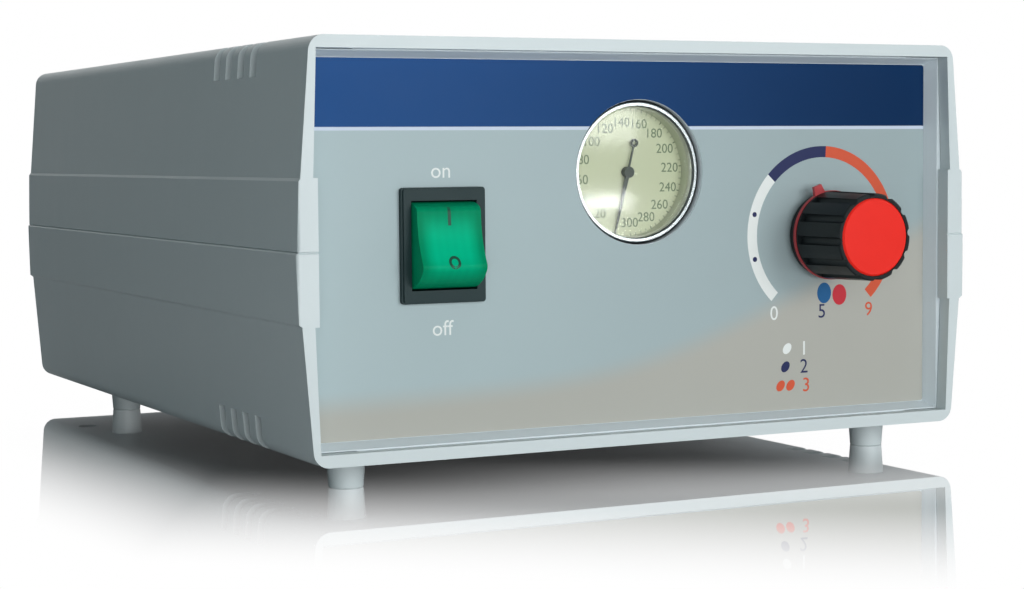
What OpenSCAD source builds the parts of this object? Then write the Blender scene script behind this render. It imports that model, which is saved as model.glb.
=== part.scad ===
// Compression therapy pump: a table-top air pump that fills the chambers of a limb cuff in turn.
// Millimetres. X runs to the viewer's right, the front looks along -Y, Z is up, and the feet stand on z = 0.

/* [Case] */
// Overall width, across the raised belts
belt_w = 216; // [209:1:240]
// How far the belts stand out from the side walls
belt_out = 1.5; // [1:0.1:2]
// How far each side wall leans in, from its belt to its long edge
side_in = 3; // [2:0.1:3.5]
// Depth of the two shells, front lip to rear lip
case_d = 282; // [262:1:310]
// Height of each shell above or below the joint
half_h = 56.8; // [54:0.2:66]
// Height of the raised belt on each shell
belt_h = 19.5; // [14:0.5:26]
// How much narrower the upper belt is on each side
belt_step = 0.4; // [0:0.1:0.8]
// Radius of the long edges
edge_r = 4.5; // [3:0.5:6]
// Side wall thickness
side_t = 2.6; // [2.2:0.1:3]
// Top and bottom wall thickness
skin_t = 3; // [2.4:0.1:3.4]
// Radius of the towers that hold the case screws
tower_r = 5; // [4.6:0.1:6]

/* [Vents] */
// Number of slots in each group
vent_n = 4; // [1:1:6]
// Width of one slot
vent_w = 5; // [3:0.5:6]
// Distance between slots
vent_pitch = 10.2; // [8:0.2:12]
// First slot's centre behind the front lip
vent_y = 41.5; // [36:0.5:50]
// Reach of a slot from the long edge, along the top and down the side
vent_r = 9.8; // [7:0.2:12]

/* [Feet] */
// Height of the feet
foot_h = 8.5; // [6:0.5:14]
// Radius of a foot at the floor
foot_r = 4.8; // [4.6:0.1:8]
// Distance of the feet from the long bottom edges
foot_in = 16.8; // [15:0.1:18]
// Front feet behind the front lip
foot_front = 20.2; // [18:0.5:26]
// Rear feet before the rear lip
foot_rear = 52.5; // [40:0.5:60]

/* [Front and rear panels] */
// Thickness of the lip at each side, at the long edges
lip_w = 1.8; // [1.6:0.05:4]
// How much each side of the opening leans in, from its belt to its end
mouth_in = 1.2; // [0.4:0.1:1.6]
// Thickness of the lip above and below the opening
lip_h = 3.4; // [3:0.1:4.5]
// Depth of the lip in front of a panel
lip_d = 4.3; // [3:0.1:6]
// How far the belts bulge into the opening
belt_in = 1.1; // [0.4:0.1:1.5]
// Depth of the printed field behind the front lip
field_d = 8.8; // [7:0.1:11]
// Margin of the bevelled border round the printed field
border_w = 2; // [1.6:0.05:4]
// Thickness of the front panel's field
panel_t = 2.5; // [2:0.1:3]
// Thickness of the rear panel, and of the tongues that hold both panels
tongue_t = 2; // [1.6:0.1:2.4]
// Height of the tongues
tongue_h = 1.2; // [0.8:0.1:1.4]
// Distance of the tongues' ends from the sides of the opening
tongue_in = 12.05; // [10:0.05:40]
// Thickness of the printed film
film_t = 0.3; // [0.2:0.05:0.5]

/* [Rocker switch] */
// Distance of the switch from the middle
switch_x = 62.4; // [52:0.2:66]
// Height of the switch centre above the floor
switch_z = 66; // [58:0.5:74]
// Bezel width
bezel_w = 25.1; // [24:0.1:28]
// Bezel height
bezel_h = 31.5; // [30:0.1:34]
// Bezel thickness
bezel_t = 2; // [1.2:0.1:2.6]
// Width of the opening that the rocker fills
well_w = 19.6; // [18:0.1:20]
// Height of the opening that the rocker fills
well_h = 24.4; // [24.2:0.1:26]
// Tilt of the rocker each way from level
rocker_tilt = 15; // [8:0.5:16]

/* [Pressure gauge] */
// Height of the gauge centre above the floor
gauge_z = 85.1; // [82:0.1:88]
// Radius of the panel's gauge hole
gauge_r = 20.65; // [20:0.05:22]
// Depth of the dial behind the panel's face
dial_d = 8; // [6:0.5:10]
// Length of the needle from its hub
needle_len = 18; // [12:0.5:18]
// Teeth of the needle's pinion
pinion_n = 8; // [8:2:10]
// Teeth that the sector would have as a full wheel
sector_n = 64; // [56:1:72]
// Tooth module of the gauge works
works_m = 0.4; // [0.3:0.05:0.4]
// Turn of the needle from zero, as drawn, in degrees
needle_rest = 14; // [0:1:30]

/* [Pressure knob] */
// Distance of the knob from the middle
knob_x = 62.4; // [52:0.2:66]
// Height of the knob centre above the floor
knob_z = 65.9; // [58:0.5:74]
// Radius of the knob at its skirt
knob_r = 13.2; // [12:0.1:16]
// Reach of the knob in front of the panel's face
knob_len = 26.7; // [22:0.1:32]
// Number of finger flutes
flute_n = 12; // [8:1:24]
// Width of the knob's rim round the coloured cap
rim_w = 1.4; // [1:0.1:3]
// Turn of the pointer from straight up, as drawn, in degrees
knob_rest = 20; // [0:1:60]
// Radius of the regulator's spindle
spindle_r = 3; // [2.5:0.1:3.2]
// Outer radius of the regulator's threaded bush
bush_r = 5; // [4.6:0.1:5.4]

/* [Air pump] */
// Middle of the pump, left to right
pump_x = -37; // [-39:1:-34]
// Middle of the pump, front to back
pump_y = 36; // [30:1:38]
// Height of the armature's axis above the floor
pump_z = 51; // [51:1:60]
// Radius of the diaphragms
diaphragm_r = 20; // [18:0.5:21]
// Travel of the armature each way
stroke = 1.5; // [0.5:0.1:2]

/* [Distributor] */
// Distributor axis, from the middle
valve_x = 50; // [46:1:54]
// Height of the distributor axis above the floor
valve_z = 50; // [46:1:56]
// Rear face of the motor bracket, which carries the distributor
bracket_y = 8; // [4:1:9]
// Half the width of the distributor body
valve_r = 24; // [23:0.5:25]
// Radius of the circle of outlet ports
port_r = 14; // [11:0.5:15]
// Radius of the geared motor
motor_r = 24.5; // [20:0.5:25.5]

/* [Hoses and outlets] */
// Number of cuff outlets
outlet_n = 4; // [4:1:4]
// Distance between the outlets
outlet_pitch = 22; // [18:1:24]
// Height of the outlets above the floor
outlet_z = 76; // [68:1:90]
// Middle of the row of outlets
outlet_x = 50; // [46:1:54]
// Radius of the outlets' plain spigots
spigot_r = 4; // [3.5:0.1:4.5]
// Reach of the outlets behind the rear lip
outlet_reach = 17.9; // [12:0.1:26]
// Outer radius of the inner hoses
hose_r = 3.3; // [2.9:0.1:3.6]
// Bore radius of the inner hoses
hose_bore = 2.15; // [1.8:0.05:2.4]

/* [Mains inlet] */
// Inlet centre, from the middle
inlet_x = -62; // [-66:1:-50]
// Height of the inlet centre above the floor
inlet_z = 60; // [52:1:74]
// Travel of the fuse drawer
drawer_travel = 12; // [6:1:14]

/* [Clearances] */
// Gap round parts that are fitted together
fit = 0.15; // [0.05:0.05:0.2]
// Radial clearance of turning shafts
run = 0.05; // [0.02:0.01:0.08]
// Gap round parts that move past each other
swing = 0.4; // [0.3:0.05:0.5]

/* [Hidden] */
$fn = 64;
eps = 0.01;

shell_grey = [0.80, 0.82, 0.82];
trim_grey = [0.70, 0.74, 0.75];
film_grey = [0.62, 0.70, 0.71];
ink_black = [0.10, 0.12, 0.13];
dial_cream = [0.80, 0.81, 0.72];
steel = [0.72, 0.73, 0.75];
brass = [0.78, 0.66, 0.36];
copper = [0.72, 0.42, 0.24];
rubber = [0.16, 0.16, 0.17];
knob_red = [0.90, 0.20, 0.16];
lamp_green = [0.05, 0.66, 0.47];
white_plastic = [0.90, 0.90, 0.88];

// Places that follow from the driving sizes
root_w = belt_w - 2 * belt_out;
top_w = root_w - 2 * side_in;
mouth_w = top_w - 2 * lip_w;
mouth_mid = mouth_w + 2 * mouth_in;
foot_x = top_w / 2 - foot_in;
tongue_w = mouth_w - 2 * tongue_in;
joint_z = foot_h + half_h;
front_y = -case_d / 2;
rear_y = case_d / 2;
face_y = front_y + field_d;
panel_back = film_t + panel_t;
floor_z = foot_h + skin_t;
mouth_h = half_h - lip_h;
groove_t = tongue_t + 2 * fit;
mouth_d = field_d + panel_back + 1;
border_d = lip_d + fit;
sink = field_d + film_t - border_d;
field_w = mouth_w - 2 * border_w;
field_h = 2 * (mouth_h - border_w);
rim_flat = 0.25;
cut_d = 5;

// Screw sizes
screw_r = 1.5;
screw_head_r = 2.8;
screw_head_t = 2;
recess_w = 0.8;
recess_d = 1.2;

// Points round an arc, end points included
function arc(c, r, a0, a1, n) =
    [for (i = [0:n]) let (a = a0 + (a1 - a0) * i / n) c + r * [cos(a), sin(a)]];

// The half of a left-right symmetrical outline, mirrored to close it
function mirrored(points) = [for (i = [len(points) - 1:-1:0]) [-points[i][0], points[i][1]]];
function closed(half) = concat(half, mirrored(half));

// The side wall leans in above the belt
function lean() = (root_w - top_w) / 2 / (half_h - belt_h);
function side_x(z, inset = 0) = root_w / 2 - lean() * max(z - belt_h, 0) - inset;

// Half a case outline: the given start, then the leaning side and the long edge rounded by r
function half_outline(start, h, inset, r) =
    let (tilt = atan(lean()), centre = [side_x(h - r, inset) - r / cos(tilt), h - r])
    concat(start, [[side_x(belt_h, inset), belt_h]], arc(centre, r, tilt, 90, 8));

// Carries a profile in x and z along Y, by a length d centred on y
module along_y(d, y = 0) {
    translate([0, y + d / 2, 0]) rotate([90, 0, 0]) linear_extrude(height = d) children();
}

// A box that stands centred on z = 0
module slab(w, d, h) {
    translate([-w / 2, -d / 2, 0]) cube([w, d, h]);
}

module rounded(w, h, r) {
    square([w, h - 2 * r], center = true);
    square([w - 2 * r, h], center = true);
    for (x = [-1, 1], y = [-1, 1]) translate([x * (w / 2 - r), y * (h / 2 - r)]) circle(r = r);
}

// A plate with round corners, its thickness along z
module plate(w, h, t, r) {
    linear_extrude(height = t) rounded(w, h, r);
}

module ring(r_out, r_in, h) {
    linear_extrude(height = h) difference() {
        circle(r = r_out);
        circle(r = r_in);
    }
}

// A pan-head screw: the head stands on z = 0 and the shank goes down
module pan_screw(length, r = screw_r, head_r = screw_head_r, head_t = screw_head_t) {
    difference() {
        union() {
            cylinder(r = head_r, h = head_t);
            translate([0, 0, -length]) cylinder(r = r, h = length + eps);
        }
        for (a = [0, 90]) rotate(a) translate([0, 0, head_t - recess_d]) slab(head_r * 1.1, recess_w, recess_d + 1);
    }
}

// Frame on the front panel's printed face: x to the right, y up, z out towards the user
module on_front(x, z) {
    translate([x, face_y, z]) rotate([90, 0, 0]) children();
}

// Frame on a face that looks backwards: z out to the rear, y up
module to_rear(p) {
    translate(p) rotate([90, 0, 180]) children();
}

module on_rear(x, z) {
    to_rear([x, rear_y - border_d, z]) children();
}

// Case shells ------------------------------------------------------------------------------------

belt_draft = 0.5;
belt_proud = 0.4;
belt_round = 1;
seam_bevel = 0.4;
ledge_h = 0.8;
seam_t = 1.2;
seam_h = 2;
seam_short = 6;
rib_t = 2;
case_screw_r = 1.7;
case_head_r = 3.2;
case_head_t = 2.4;
screw_low = 20;
screw_high = 12;
tower_x = foot_x + 8;
tower_front = front_y + foot_front + 8;
tower_rear = rear_y - foot_rear + 24;
tower_places = [for (x = [-1, 1], y = [tower_front, tower_rear]) [x * tower_x, y]];
foot_places = [[-foot_x, front_y + foot_front], [foot_x, front_y + foot_front],
    [-foot_x, rear_y - foot_rear], [foot_x, rear_y - foot_rear]];

// One shell with its joint on z = 0 and its broad wall on top
module shell_form(belt_x) {
    outer = [[side_x(0), 0]];
    inner = [[side_x(0, side_t), -1]];
    difference() {
        union() {
            along_y(case_d) polygon(closed(half_outline(outer, half_h, 0, edge_r)));
            belt_band(belt_x);
        }
        along_y(case_d - 2 * mouth_d) polygon(closed(half_outline(inner, half_h - skin_t, side_t, edge_r / 2)));
        for (s = [-1, 1]) mouth_cut(s);
        for (s = [-1, 1], i = [0:vent_n - 1]) vent_cut(s, front_y + vent_y + i * vent_pitch);
    }
    for (p = tower_places) tower(p);
}

// The raised belt, a little proud of the lips, with round corners and a bevel along the joint
module belt_band(belt_x) {
    length = case_d + 2 * belt_proud;
    difference() {
        intersection() {
            along_y(length) polygon(closed([[belt_x - seam_bevel, 0], [belt_x, seam_bevel],
                [belt_x - belt_draft, belt_h - ledge_h], [side_x(belt_h), belt_h]]));
            linear_extrude(height = belt_h) rounded(2 * belt_x, length, belt_round);
        }
        for (s = [-1, 1]) translate([0, s * length / 2, 0]) rotate([45, 0, 0])
            cube([belt_w + 2, seam_bevel * sqrt(2), seam_bevel * sqrt(2)], center = true);
    }
}

// The opening at one end, narrower between the belts, with the groove for the panel's tongue
module mouth_cut(s) {
    depth = mouth_d - lip_d + 1;
    wall = [[mouth_mid / 2, belt_h], [mouth_w / 2, mouth_h]];
    along_y(depth, s * (case_d / 2 - lip_d - depth / 2)) polygon(closed(concat([[mouth_mid / 2, -1]], wall)));
    along_y(lip_d + 2, s * (case_d / 2 - lip_d / 2 + 1 - eps)) polygon(closed(concat(
        [[mouth_mid / 2 - belt_in, -1], [mouth_mid / 2 - belt_in, belt_h]], wall)));
    translate([0, s * (case_d / 2 - lip_d - groove_t / 2), 0])
        slab(tongue_w + 2 * fit, groove_t, mouth_h + tongue_h + fit);
}

// A round-bottomed slot that wraps over the long edge
module vent_cut(s, y) {
    translate([s * top_w / 2, y + vent_w / 2, half_h]) rotate([90, 0, 0]) cylinder(r = vent_r, h = vent_w);
}

// A screw tower, with the rib that ties it to the side wall
module tower(p) {
    top = half_h - skin_t / 2;
    wall = side_t / 2;
    translate([p[0], p[1], 0]) cylinder(r = tower_r, h = top);
    mirror([p[0] < 0 ? 1 : 0, 0, 0]) along_y(rib_t, p[1]) polygon([[tower_x, 0], [side_x(0, wall), 0],
        [side_x(belt_h, wall), belt_h], [side_x(top, wall), top], [tower_x, top]]);
}

// The tongue that stands up inside the side walls and centres the upper shell
module seam_tongue(h, grow) {
    length = case_d - 2 * mouth_d - 2 * seam_short + 2 * grow;
    for (s = [-1, 1])
        translate([s * (side_x(0, side_t) + seam_t / 2), 0, -eps]) slab(seam_t + 2 * grow, length, h + eps);
}

module upper_shell() {
    color(shell_grey) translate([0, 0, joint_z]) difference() {
        shell_form(belt_w / 2 - belt_step);
        for (p = tower_places) translate([p[0], p[1], -1]) cylinder(r = case_screw_r + run, h = screw_high + 3);
        seam_tongue(seam_h + fit, fit);
    }
}

module lower_shell() {
    color(shell_grey) difference() {
        union() {
            translate([0, 0, joint_z]) mirror([0, 0, 1]) shell_form(belt_w / 2);
            translate([0, 0, joint_z]) seam_tongue(seam_h, 0);
            for (p = foot_places) floor_boss(p, foot_r, foot_boss_h);
            for (p = mount_places) floor_boss(p, mount_r + 2, mount_seat);
            for (p = bracket_feet) floor_boss(p, bracket_boss_r, bracket_seat);
        }
        for (p = tower_places) translate([p[0], p[1], foot_h - 1]) {
            cylinder(r = case_screw_r + fit, h = half_h + 2);
            cylinder(r = case_head_r + fit, h = half_h - screw_low + 1);
        }
        for (p = foot_places) translate([p[0], p[1], foot_h - 1])
            cylinder(r = screw_r + run, h = foot_screw_in + 2);
        for (p = mount_places) translate([p[0], p[1], floor_z + mount_seat - mount_cup])
            cylinder(r = mount_r + fit, h = mount_cup + 1);
        for (p = bracket_feet) translate([p[0], p[1], floor_z]) cylinder(r = screw_r + run, h = bracket_seat + 1);
    }
}

module floor_boss(p, r, h) {
    translate([p[0], p[1], floor_z - skin_t / 2]) cylinder(r = r, h = h + skin_t / 2);
}

module case_screws() {
    color(steel) for (p = tower_places) translate([p[0], p[1], joint_z - screw_low]) rotate([180, 0, 0])
        pan_screw(screw_low + screw_high, case_screw_r, case_head_r, case_head_t);
}

// Feet -------------------------------------------------------------------------------------------

foot_boss_h = 10;
foot_taper = 0.6;
foot_edge = 0.2;
foot_well = 3.5;
foot_well_r = foot_r - 1.4;
foot_screw_in = 10;

// A turned foot that narrows to the floor, with a screw well from below
module foot(p) {
    color(trim_grey) translate([p[0], p[1], 0]) rotate_extrude() polygon([[foot_well_r, 0],
        [foot_r - foot_edge, 0], [foot_r, foot_edge], [foot_r + foot_taper, foot_h],
        [screw_r + fit, foot_h], [screw_r + fit, foot_well], [foot_well_r, foot_well]]);
}

module foot_front_left() {
    foot(foot_places[0]);
}

module foot_front_right() {
    foot(foot_places[1]);
}

module foot_rear_left() {
    foot(foot_places[2]);
}

module foot_rear_right() {
    foot(foot_places[3]);
}

module foot_screws() {
    color(steel) for (p = foot_places) translate([p[0], p[1], foot_well]) rotate([180, 0, 0])
        pan_screw(foot_h - foot_well + foot_screw_in);
}

// Panels -----------------------------------------------------------------------------------------

// The plate that both panels start from, with its outer face on z = 0 and a tongue above and below
module panel_blank(t) {
    side = [[mouth_mid / 2 - fit, belt_h], [mouth_w / 2 - fit, mouth_h - fit]];
    for (s = [0, 1]) mirror([0, s, 0]) translate([0, 0, -t]) linear_extrude(height = t)
        polygon(closed(concat([[side[0][0], -eps]], side)));
    translate([0, 0, -tongue_t]) linear_extrude(height = tongue_t)
        square([tongue_w, 2 * (mouth_h + tongue_h)], center = true);
}

// A four-sided tray: w by h at the depth d, wider by the rim at z = 0
module tray_cut(w, h, rim, d) {
    intersection() {
        translate([0, h, 0]) rotate([90, 0, 0]) linear_extrude(height = 2 * h) tray_side(w / 2, rim, d);
        translate([-w, 0, 0]) rotate([90, 0, 90]) linear_extrude(height = 2 * w) tray_side(h / 2, rim, d);
    }
}

module tray_side(half, rim, d) {
    polygon(closed([[half, -d], [half + rim, 0], [half + rim, 1]]));
}

module front_panel() {
    color(trim_grey) difference() {
        union() {
            translate([0, front_y + border_d, joint_z]) rotate([90, 0, 0]) difference() {
                panel_blank(sink + panel_t);
                tray_cut(field_w, field_h, border_w - fit - rim_flat, sink);
            }
            on_front(0, gauge_z) for (p = clamp_places) translate([p[0], p[1], -panel_back - flange_t])
                cylinder(r = clamp_boss_r, h = flange_t + panel_t / 2);
        }
        panel_cuts(0);
        on_front(0, gauge_z) for (p = clamp_places) translate([p[0], p[1], -panel_back - flange_t - 1])
            cylinder(r = screw_r + run, h = flange_t + 1 + panel_t / 2);
    }
}

// Cut-outs for the switch, the gauge and the regulator's bush
module panel_cuts(grow) {
    open = fit + grow;
    on_front(-switch_x, switch_z) translate([0, 0, -cut_d])
        plate(switch_body_w + 2 * open, switch_body_h + 2 * open, 2 * cut_d, 0.5);
    on_front(0, gauge_z) translate([0, 0, -cut_d]) cylinder(r = gauge_r + grow, h = 2 * cut_d);
    on_front(knob_x, knob_z) translate([0, 0, -cut_d]) cylinder(r = bush_r + open, h = 2 * cut_d);
}

module panel_film() {
    color(film_grey) difference() {
        on_front(0, joint_z) translate([0, 0, -film_t]) plate(field_w - 2 * fit, field_h - 2 * fit, film_t, 0.8);
        panel_cuts(0.1);
    }
}

module rear_panel() {
    color(trim_grey) difference() {
        on_rear(0, joint_z) panel_blank(tongue_t);
        on_rear(inlet_x, inlet_z) translate([0, 0, -cut_d]) {
            plate(inlet_w + 2 * fit, inlet_h + 2 * fit, 2 * cut_d, 1);
            for (s = [-1, 1]) translate([s * inlet_screw_x, 0]) cylinder(r = screw_r + fit, h = 2 * cut_d);
        }
        for (i = [0:outlet_n - 1]) on_rear(outlet_at(i), outlet_z) translate([0, 0, -cut_d])
            cylinder(r = stem_r + fit, h = 2 * cut_d);
    }
}

// Rocker switch ----------------------------------------------------------------------------------

switch_body_w = bezel_w - 3.4;
switch_body_h = bezel_h - 3.4;
switch_depth = 20;
well_depth = 13;
pivot_z = -0.9;
trunnion_r = 1.5;
rocker_gap = 0.3;
rocker_w = well_w - 2 * rocker_gap;
rocker_r = well_h / 2 - swing;
rocker_low = -8;
tip_angle = 46;
face_dip = 1.2;
tip_round = 2;
bezel_step = 0.5;
blade_t = 0.8;
blade_w = 6.3;
blade_l = 9;

module switch_housing() {
    color(ink_black) on_front(-switch_x, switch_z) difference() {
        union() {
            plate(bezel_w, bezel_h, bezel_t - bezel_step, 0.9);
            translate([0, 0, bezel_t - bezel_step - eps])
                plate(bezel_w - 2 * bezel_step, bezel_h - 2 * bezel_step, bezel_step + eps, 0.6);
            translate([0, 0, -switch_depth]) plate(switch_body_w, switch_body_h, switch_depth + eps, 0.4);
            for (s = [-1, 1]) snap_ear(s);
        }
        translate([0, 0, -well_depth]) linear_extrude(height = well_depth + cut_d) square([well_w, well_h], center = true);
        translate([-switch_body_w / 2, 0, pivot_z]) rotate([0, 90, 0]) cylinder(r = trunnion_r + run, h = switch_body_w);
    }
}

// A sloping ear that snaps behind the panel, above or below the body
module snap_ear(s) {
    tall = 6;
    wide = 8;
    reach = 1;
    translate([-wide / 2, s * switch_body_h / 2, -panel_back - fit]) rotate([90, 0, 90])
        linear_extrude(height = wide) polygon([[-s * reach, 0], [s * reach, 0], [-s * reach, -tall]]);
}

// The rocker, level in profile and then turned about its trunnions to the pressed position: its dished
// face and its round ends meet in a fillet that touches both circles
module switch_rocker() {
    tip = rocker_r * [cos(tip_angle), sin(tip_angle)];
    dish_r = (tip[0] * tip[0] + face_dip * face_dip) / 2 / face_dip;
    dish_y = tip[1] - face_dip + dish_r;
    near = rocker_r - tip_round;
    far = dish_r + tip_round;
    fillet_y = (near * near - far * far + dish_y * dish_y) / 2 / dish_y;
    fillet = [sqrt(near * near - fillet_y * fillet_y), fillet_y];
    start = atan2(fillet[1], fillet[0]);
    end = atan2(dish_y - fillet[1], -fillet[0]);
    half = concat([[rocker_r * 0.45, rocker_low]], arc([0, 0], rocker_r, -rocker_tilt, start, 8),
        arc(fillet, tip_round, start, end, 5), arc([0, dish_y], dish_r, end - 180, -90, 6));
    color(lamp_green) on_front(-switch_x, switch_z) translate([0, 0, pivot_z]) rotate([-rocker_tilt, 0, 0]) {
        translate([-rocker_w / 2, 0, 0]) rotate([90, 0, 90]) linear_extrude(height = rocker_w)
            polygon(closed(half));
        translate([-switch_body_w / 2 + run, 0, 0]) rotate([0, 90, 0])
            cylinder(r = trunnion_r, h = switch_body_w - 2 * run);
    }
}

module switch_terminals() {
    color(brass) on_front(-switch_x, switch_z) for (x = [-5, 5], y = [-7, 7])
        translate([x, y, -switch_depth - blade_l]) slab(blade_t, blade_w, blade_l);
}

// Pressure gauge ---------------------------------------------------------------------------------

lip_r = gauge_r - 0.25;
cup_r = lip_r + 0.6;
glass_r = lip_r - 1.1;
cup_d = 27;
cup_floor = 1.5;
flange_t = 1.6;
flange_r = gauge_r + 3;
clamp_ring = flange_r + 4.5;
clamp_boss_r = 3;
clamp_t = 1.6;
clamp_places = [for (a = [30, 150, 270]) clamp_ring * [cos(a), sin(a)]];
bezel_top = -1.6;
bezel_low = -2.6;
lens_t = 1.4;
lens_rise = 0.5;
dial_t = 0.6;
play = 0.05;
arbor_r = 0.7;
stem_hole_r = 4;
works_z = -dial_d - dial_t - 2.6;
plate_z = works_z - 3.4;
plate_t = 1.6;
capsule_z = plate_z - 8;
pinion_r = works_m * pinion_n / 2;
sector_r = works_m * sector_n / 2;
works_a = pinion_r + sector_r;
sector_teeth = 11;
sector_pitch = 360 / sector_n;
sector_start = -3.5 * sector_pitch;
pillar_ring = glass_r - 2.9;

module gauge_case() {
    color(ink_black) on_front(0, gauge_z) difference() {
        union() {
            translate([0, 0, -cup_d]) cylinder(r = cup_r, h = cup_d - panel_back - flange_t / 2);
            translate([0, 0, -panel_back - flange_t]) cylinder(r = flange_r, h = flange_t);
            translate([0, 0, -panel_back - flange_t]) cylinder(r = lip_r, h = panel_back + flange_t + bezel_low);
        }
        translate([0, 0, -dial_d - dial_t]) cylinder(r = glass_r, h = cup_d);
        translate([0, 0, -cup_d + cup_floor]) cylinder(r = glass_r - 1, h = cup_d);
        translate([0, 0, -cup_d - 1]) cylinder(r = stem_hole_r, h = cup_floor + 2);
    }
}

module gauge_bezel() {
    bevel = 0.3;
    color(steel) on_front(0, gauge_z) rotate_extrude() polygon([[lip_r, bezel_low], [lip_r, bezel_top - bevel],
        [lip_r - bevel, bezel_top], [glass_r - bevel, bezel_top], [glass_r - 2 * bevel, bezel_low]]);
}

// A clear lens with a slightly domed face
module gauge_lens() {
    rim = glass_r - 1;
    ball = (rim * rim + lens_rise * lens_rise) / 2 / lens_rise;
    color([0.9, 0.95, 0.95, 0.35]) on_front(0, gauge_z) translate([0, 0, bezel_low - play - lens_t])
        rotate_extrude() polygon(concat([[0, 0], [glass_r - fit, 0], [glass_r - fit, lens_t]],
            arc([0, lens_t + lens_rise - ball], ball, 90 - asin(rim / ball), 90, 6)));
}

module gauge_spacer() {
    low = -dial_d + play;
    top = bezel_low - 2 * play - lens_t;
    color(white_plastic) on_front(0, gauge_z) translate([0, 0, low]) ring(glass_r - fit, glass_r - 0.9, top - low);
}

module gauge_dial() {
    color(dial_cream) on_front(0, gauge_z) translate([0, 0, -dial_d - dial_t])
        ring(glass_r - fit, 1.6, dial_t);
}

// A straight-sided gear tooth on a blank of the given pitch radius and tooth count
module tooth(r, n) {
    half = 360 / n / 4 * 0.72;
    root = r - 1.1 * works_m;
    crest = r + 0.8 * works_m;
    polygon([for (p = [[root - works_m, -1.2], [root, -1.5], [crest, -0.6], [crest, 0.6], [root, 1.5],
        [root - works_m, 1.2]]) p[0] * [cos(half * p[1]), sin(half * p[1])]]);
}

module gauge_needle() {
    width = 0.65;
    blade_z = -dial_d + 0.8;
    color(ink_black) on_front(0, gauge_z) {
        translate([0, 0, blade_z]) rotate(-90 - needle_rest) linear_extrude(height = 0.5) {
            polygon([[0, -width], [needle_len, -width / 4], [needle_len, width / 4], [0, width]]);
            translate([-needle_len * 0.43, -width / 3]) square([needle_len * 0.43, width * 2 / 3]);
            translate([-needle_len * 0.48, 0]) difference() {
                circle(r = 1.2);
                circle(r = 0.6);
            }
        }
        translate([0, 0, blade_z - 0.2]) cylinder(r = 1.6, h = 1.4);
        translate([0, 0, plate_z + 0.2]) cylinder(r = arbor_r, h = blade_z - plate_z);
        translate([0, 0, works_z]) linear_extrude(height = 1.2) {
            circle(r = pinion_r - 1.1 * works_m);
            for (i = [0:pinion_n - 1]) rotate(-90 + i * 360 / pinion_n) tooth(pinion_r, pinion_n);
        }
    }
}

// The toothed sector on its pivot pin; a gap between teeth faces the pinion at rest
module gauge_sector() {
    spread = sector_teeth * sector_pitch / 2 + 1;
    hub_r = 2.4;
    root = sector_r - 1.1 * works_m;
    color(brass) on_front(0, gauge_z) translate([0, -works_a, works_z + 0.2]) linear_extrude(height = 0.8)
        rotate(90 + sector_start) difference() {
            union() {
                circle(r = hub_r);
                intersection() {
                    circle(r = root);
                    polygon(concat([[0, 0]], arc([0, 0], sector_r * 1.2, -spread, spread, 4)));
                }
                for (i = [0:sector_teeth - 1]) rotate((i - (sector_teeth - 1) / 2) * sector_pitch)
                    tooth(sector_r, sector_n);
            }
            circle(r = arbor_r + run);
            intersection() {
                ring_2d(root - 2, hub_r + 0.8);
                polygon(concat([[2, 0]], arc([0, 0], sector_r * 1.2, -spread + 8, spread - 8, 4)));
            }
        }
}

module ring_2d(r_out, r_in) {
    difference() {
        circle(r = r_out);
        circle(r = r_in);
    }
}

// The plate that carries the needle's arbor and the sector's pin, on three pillars
module gauge_plate() {
    color(brass) on_front(0, gauge_z) {
        translate([0, 0, plate_z]) difference() {
            cylinder(r = glass_r - 1.5, h = plate_t);
            translate([0, 0, -1]) cylinder(r = arbor_r + run, h = plate_t + 2);
        }
        translate([0, -works_a, plate_z]) cylinder(r = arbor_r, h = works_z + 1.6 - plate_z);
        for (a = [30, 150, 270]) rotate(a) translate([pillar_ring, 0, -cup_d + cup_floor])
            cylinder(r = 1.2, h = plate_z + cup_d - cup_floor + eps);
    }
}

// The sealed capsule that the air swells, with its stem and hose barb
module gauge_capsule() {
    r = pillar_ring - 2;
    rim_z = capsule_z + 2.2;
    color(brass) on_front(0, gauge_z) difference() {
        union() {
            translate([0, 0, -cup_d + cup_floor]) cylinder(r = stem_hole_r + 1.5, h = capsule_z + cup_d - cup_floor + eps);
            translate([0, 0, -cup_d - 8]) cylinder(r = stem_hole_r - fit, h = 8 + cup_floor + eps);
            translate([0, 0, -cup_d - 8 - barb_l]) cylinder(r = barb_r, h = barb_l + eps);
            rotate_extrude() polygon([[0, capsule_z], [r - 2.5, capsule_z], [r - 1.5, rim_z - 0.4], [r, rim_z - 0.4],
                [r, rim_z + 0.4], [r - 1.5, rim_z + 0.4], [r - 2.5, capsule_z + 4.4], [2, capsule_z + 4.4],
                [2, capsule_z + 6], [0, capsule_z + 6]]);
        }
        translate([0, 0, -cup_d - 9 - barb_l]) cylinder(r = barb_bore, h = cup_d + capsule_z + 9 + barb_l);
    }
}

module gauge_clamp() {
    color(steel) on_front(0, gauge_z) translate([0, 0, -panel_back - flange_t - clamp_t]) difference() {
        union() {
            cylinder(r = flange_r + 2.8, h = clamp_t);
            for (p = clamp_places) translate(p) cylinder(r = clamp_boss_r, h = clamp_t);
        }
        translate([0, 0, -1]) cylinder(r = cup_r + fit, h = clamp_t + 2);
        for (p = clamp_places) translate([p[0], p[1], -1]) cylinder(r = screw_r + fit, h = clamp_t + 2);
    }
}

module gauge_screws() {
    color(steel) on_front(0, gauge_z) for (p = clamp_places)
        translate([p[0], p[1], -panel_back - flange_t - clamp_t]) rotate([180, 0, 0])
            pan_screw(clamp_t + flange_t + panel_t / 4);
}

// Pressure knob and regulator --------------------------------------------------------------------

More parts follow.
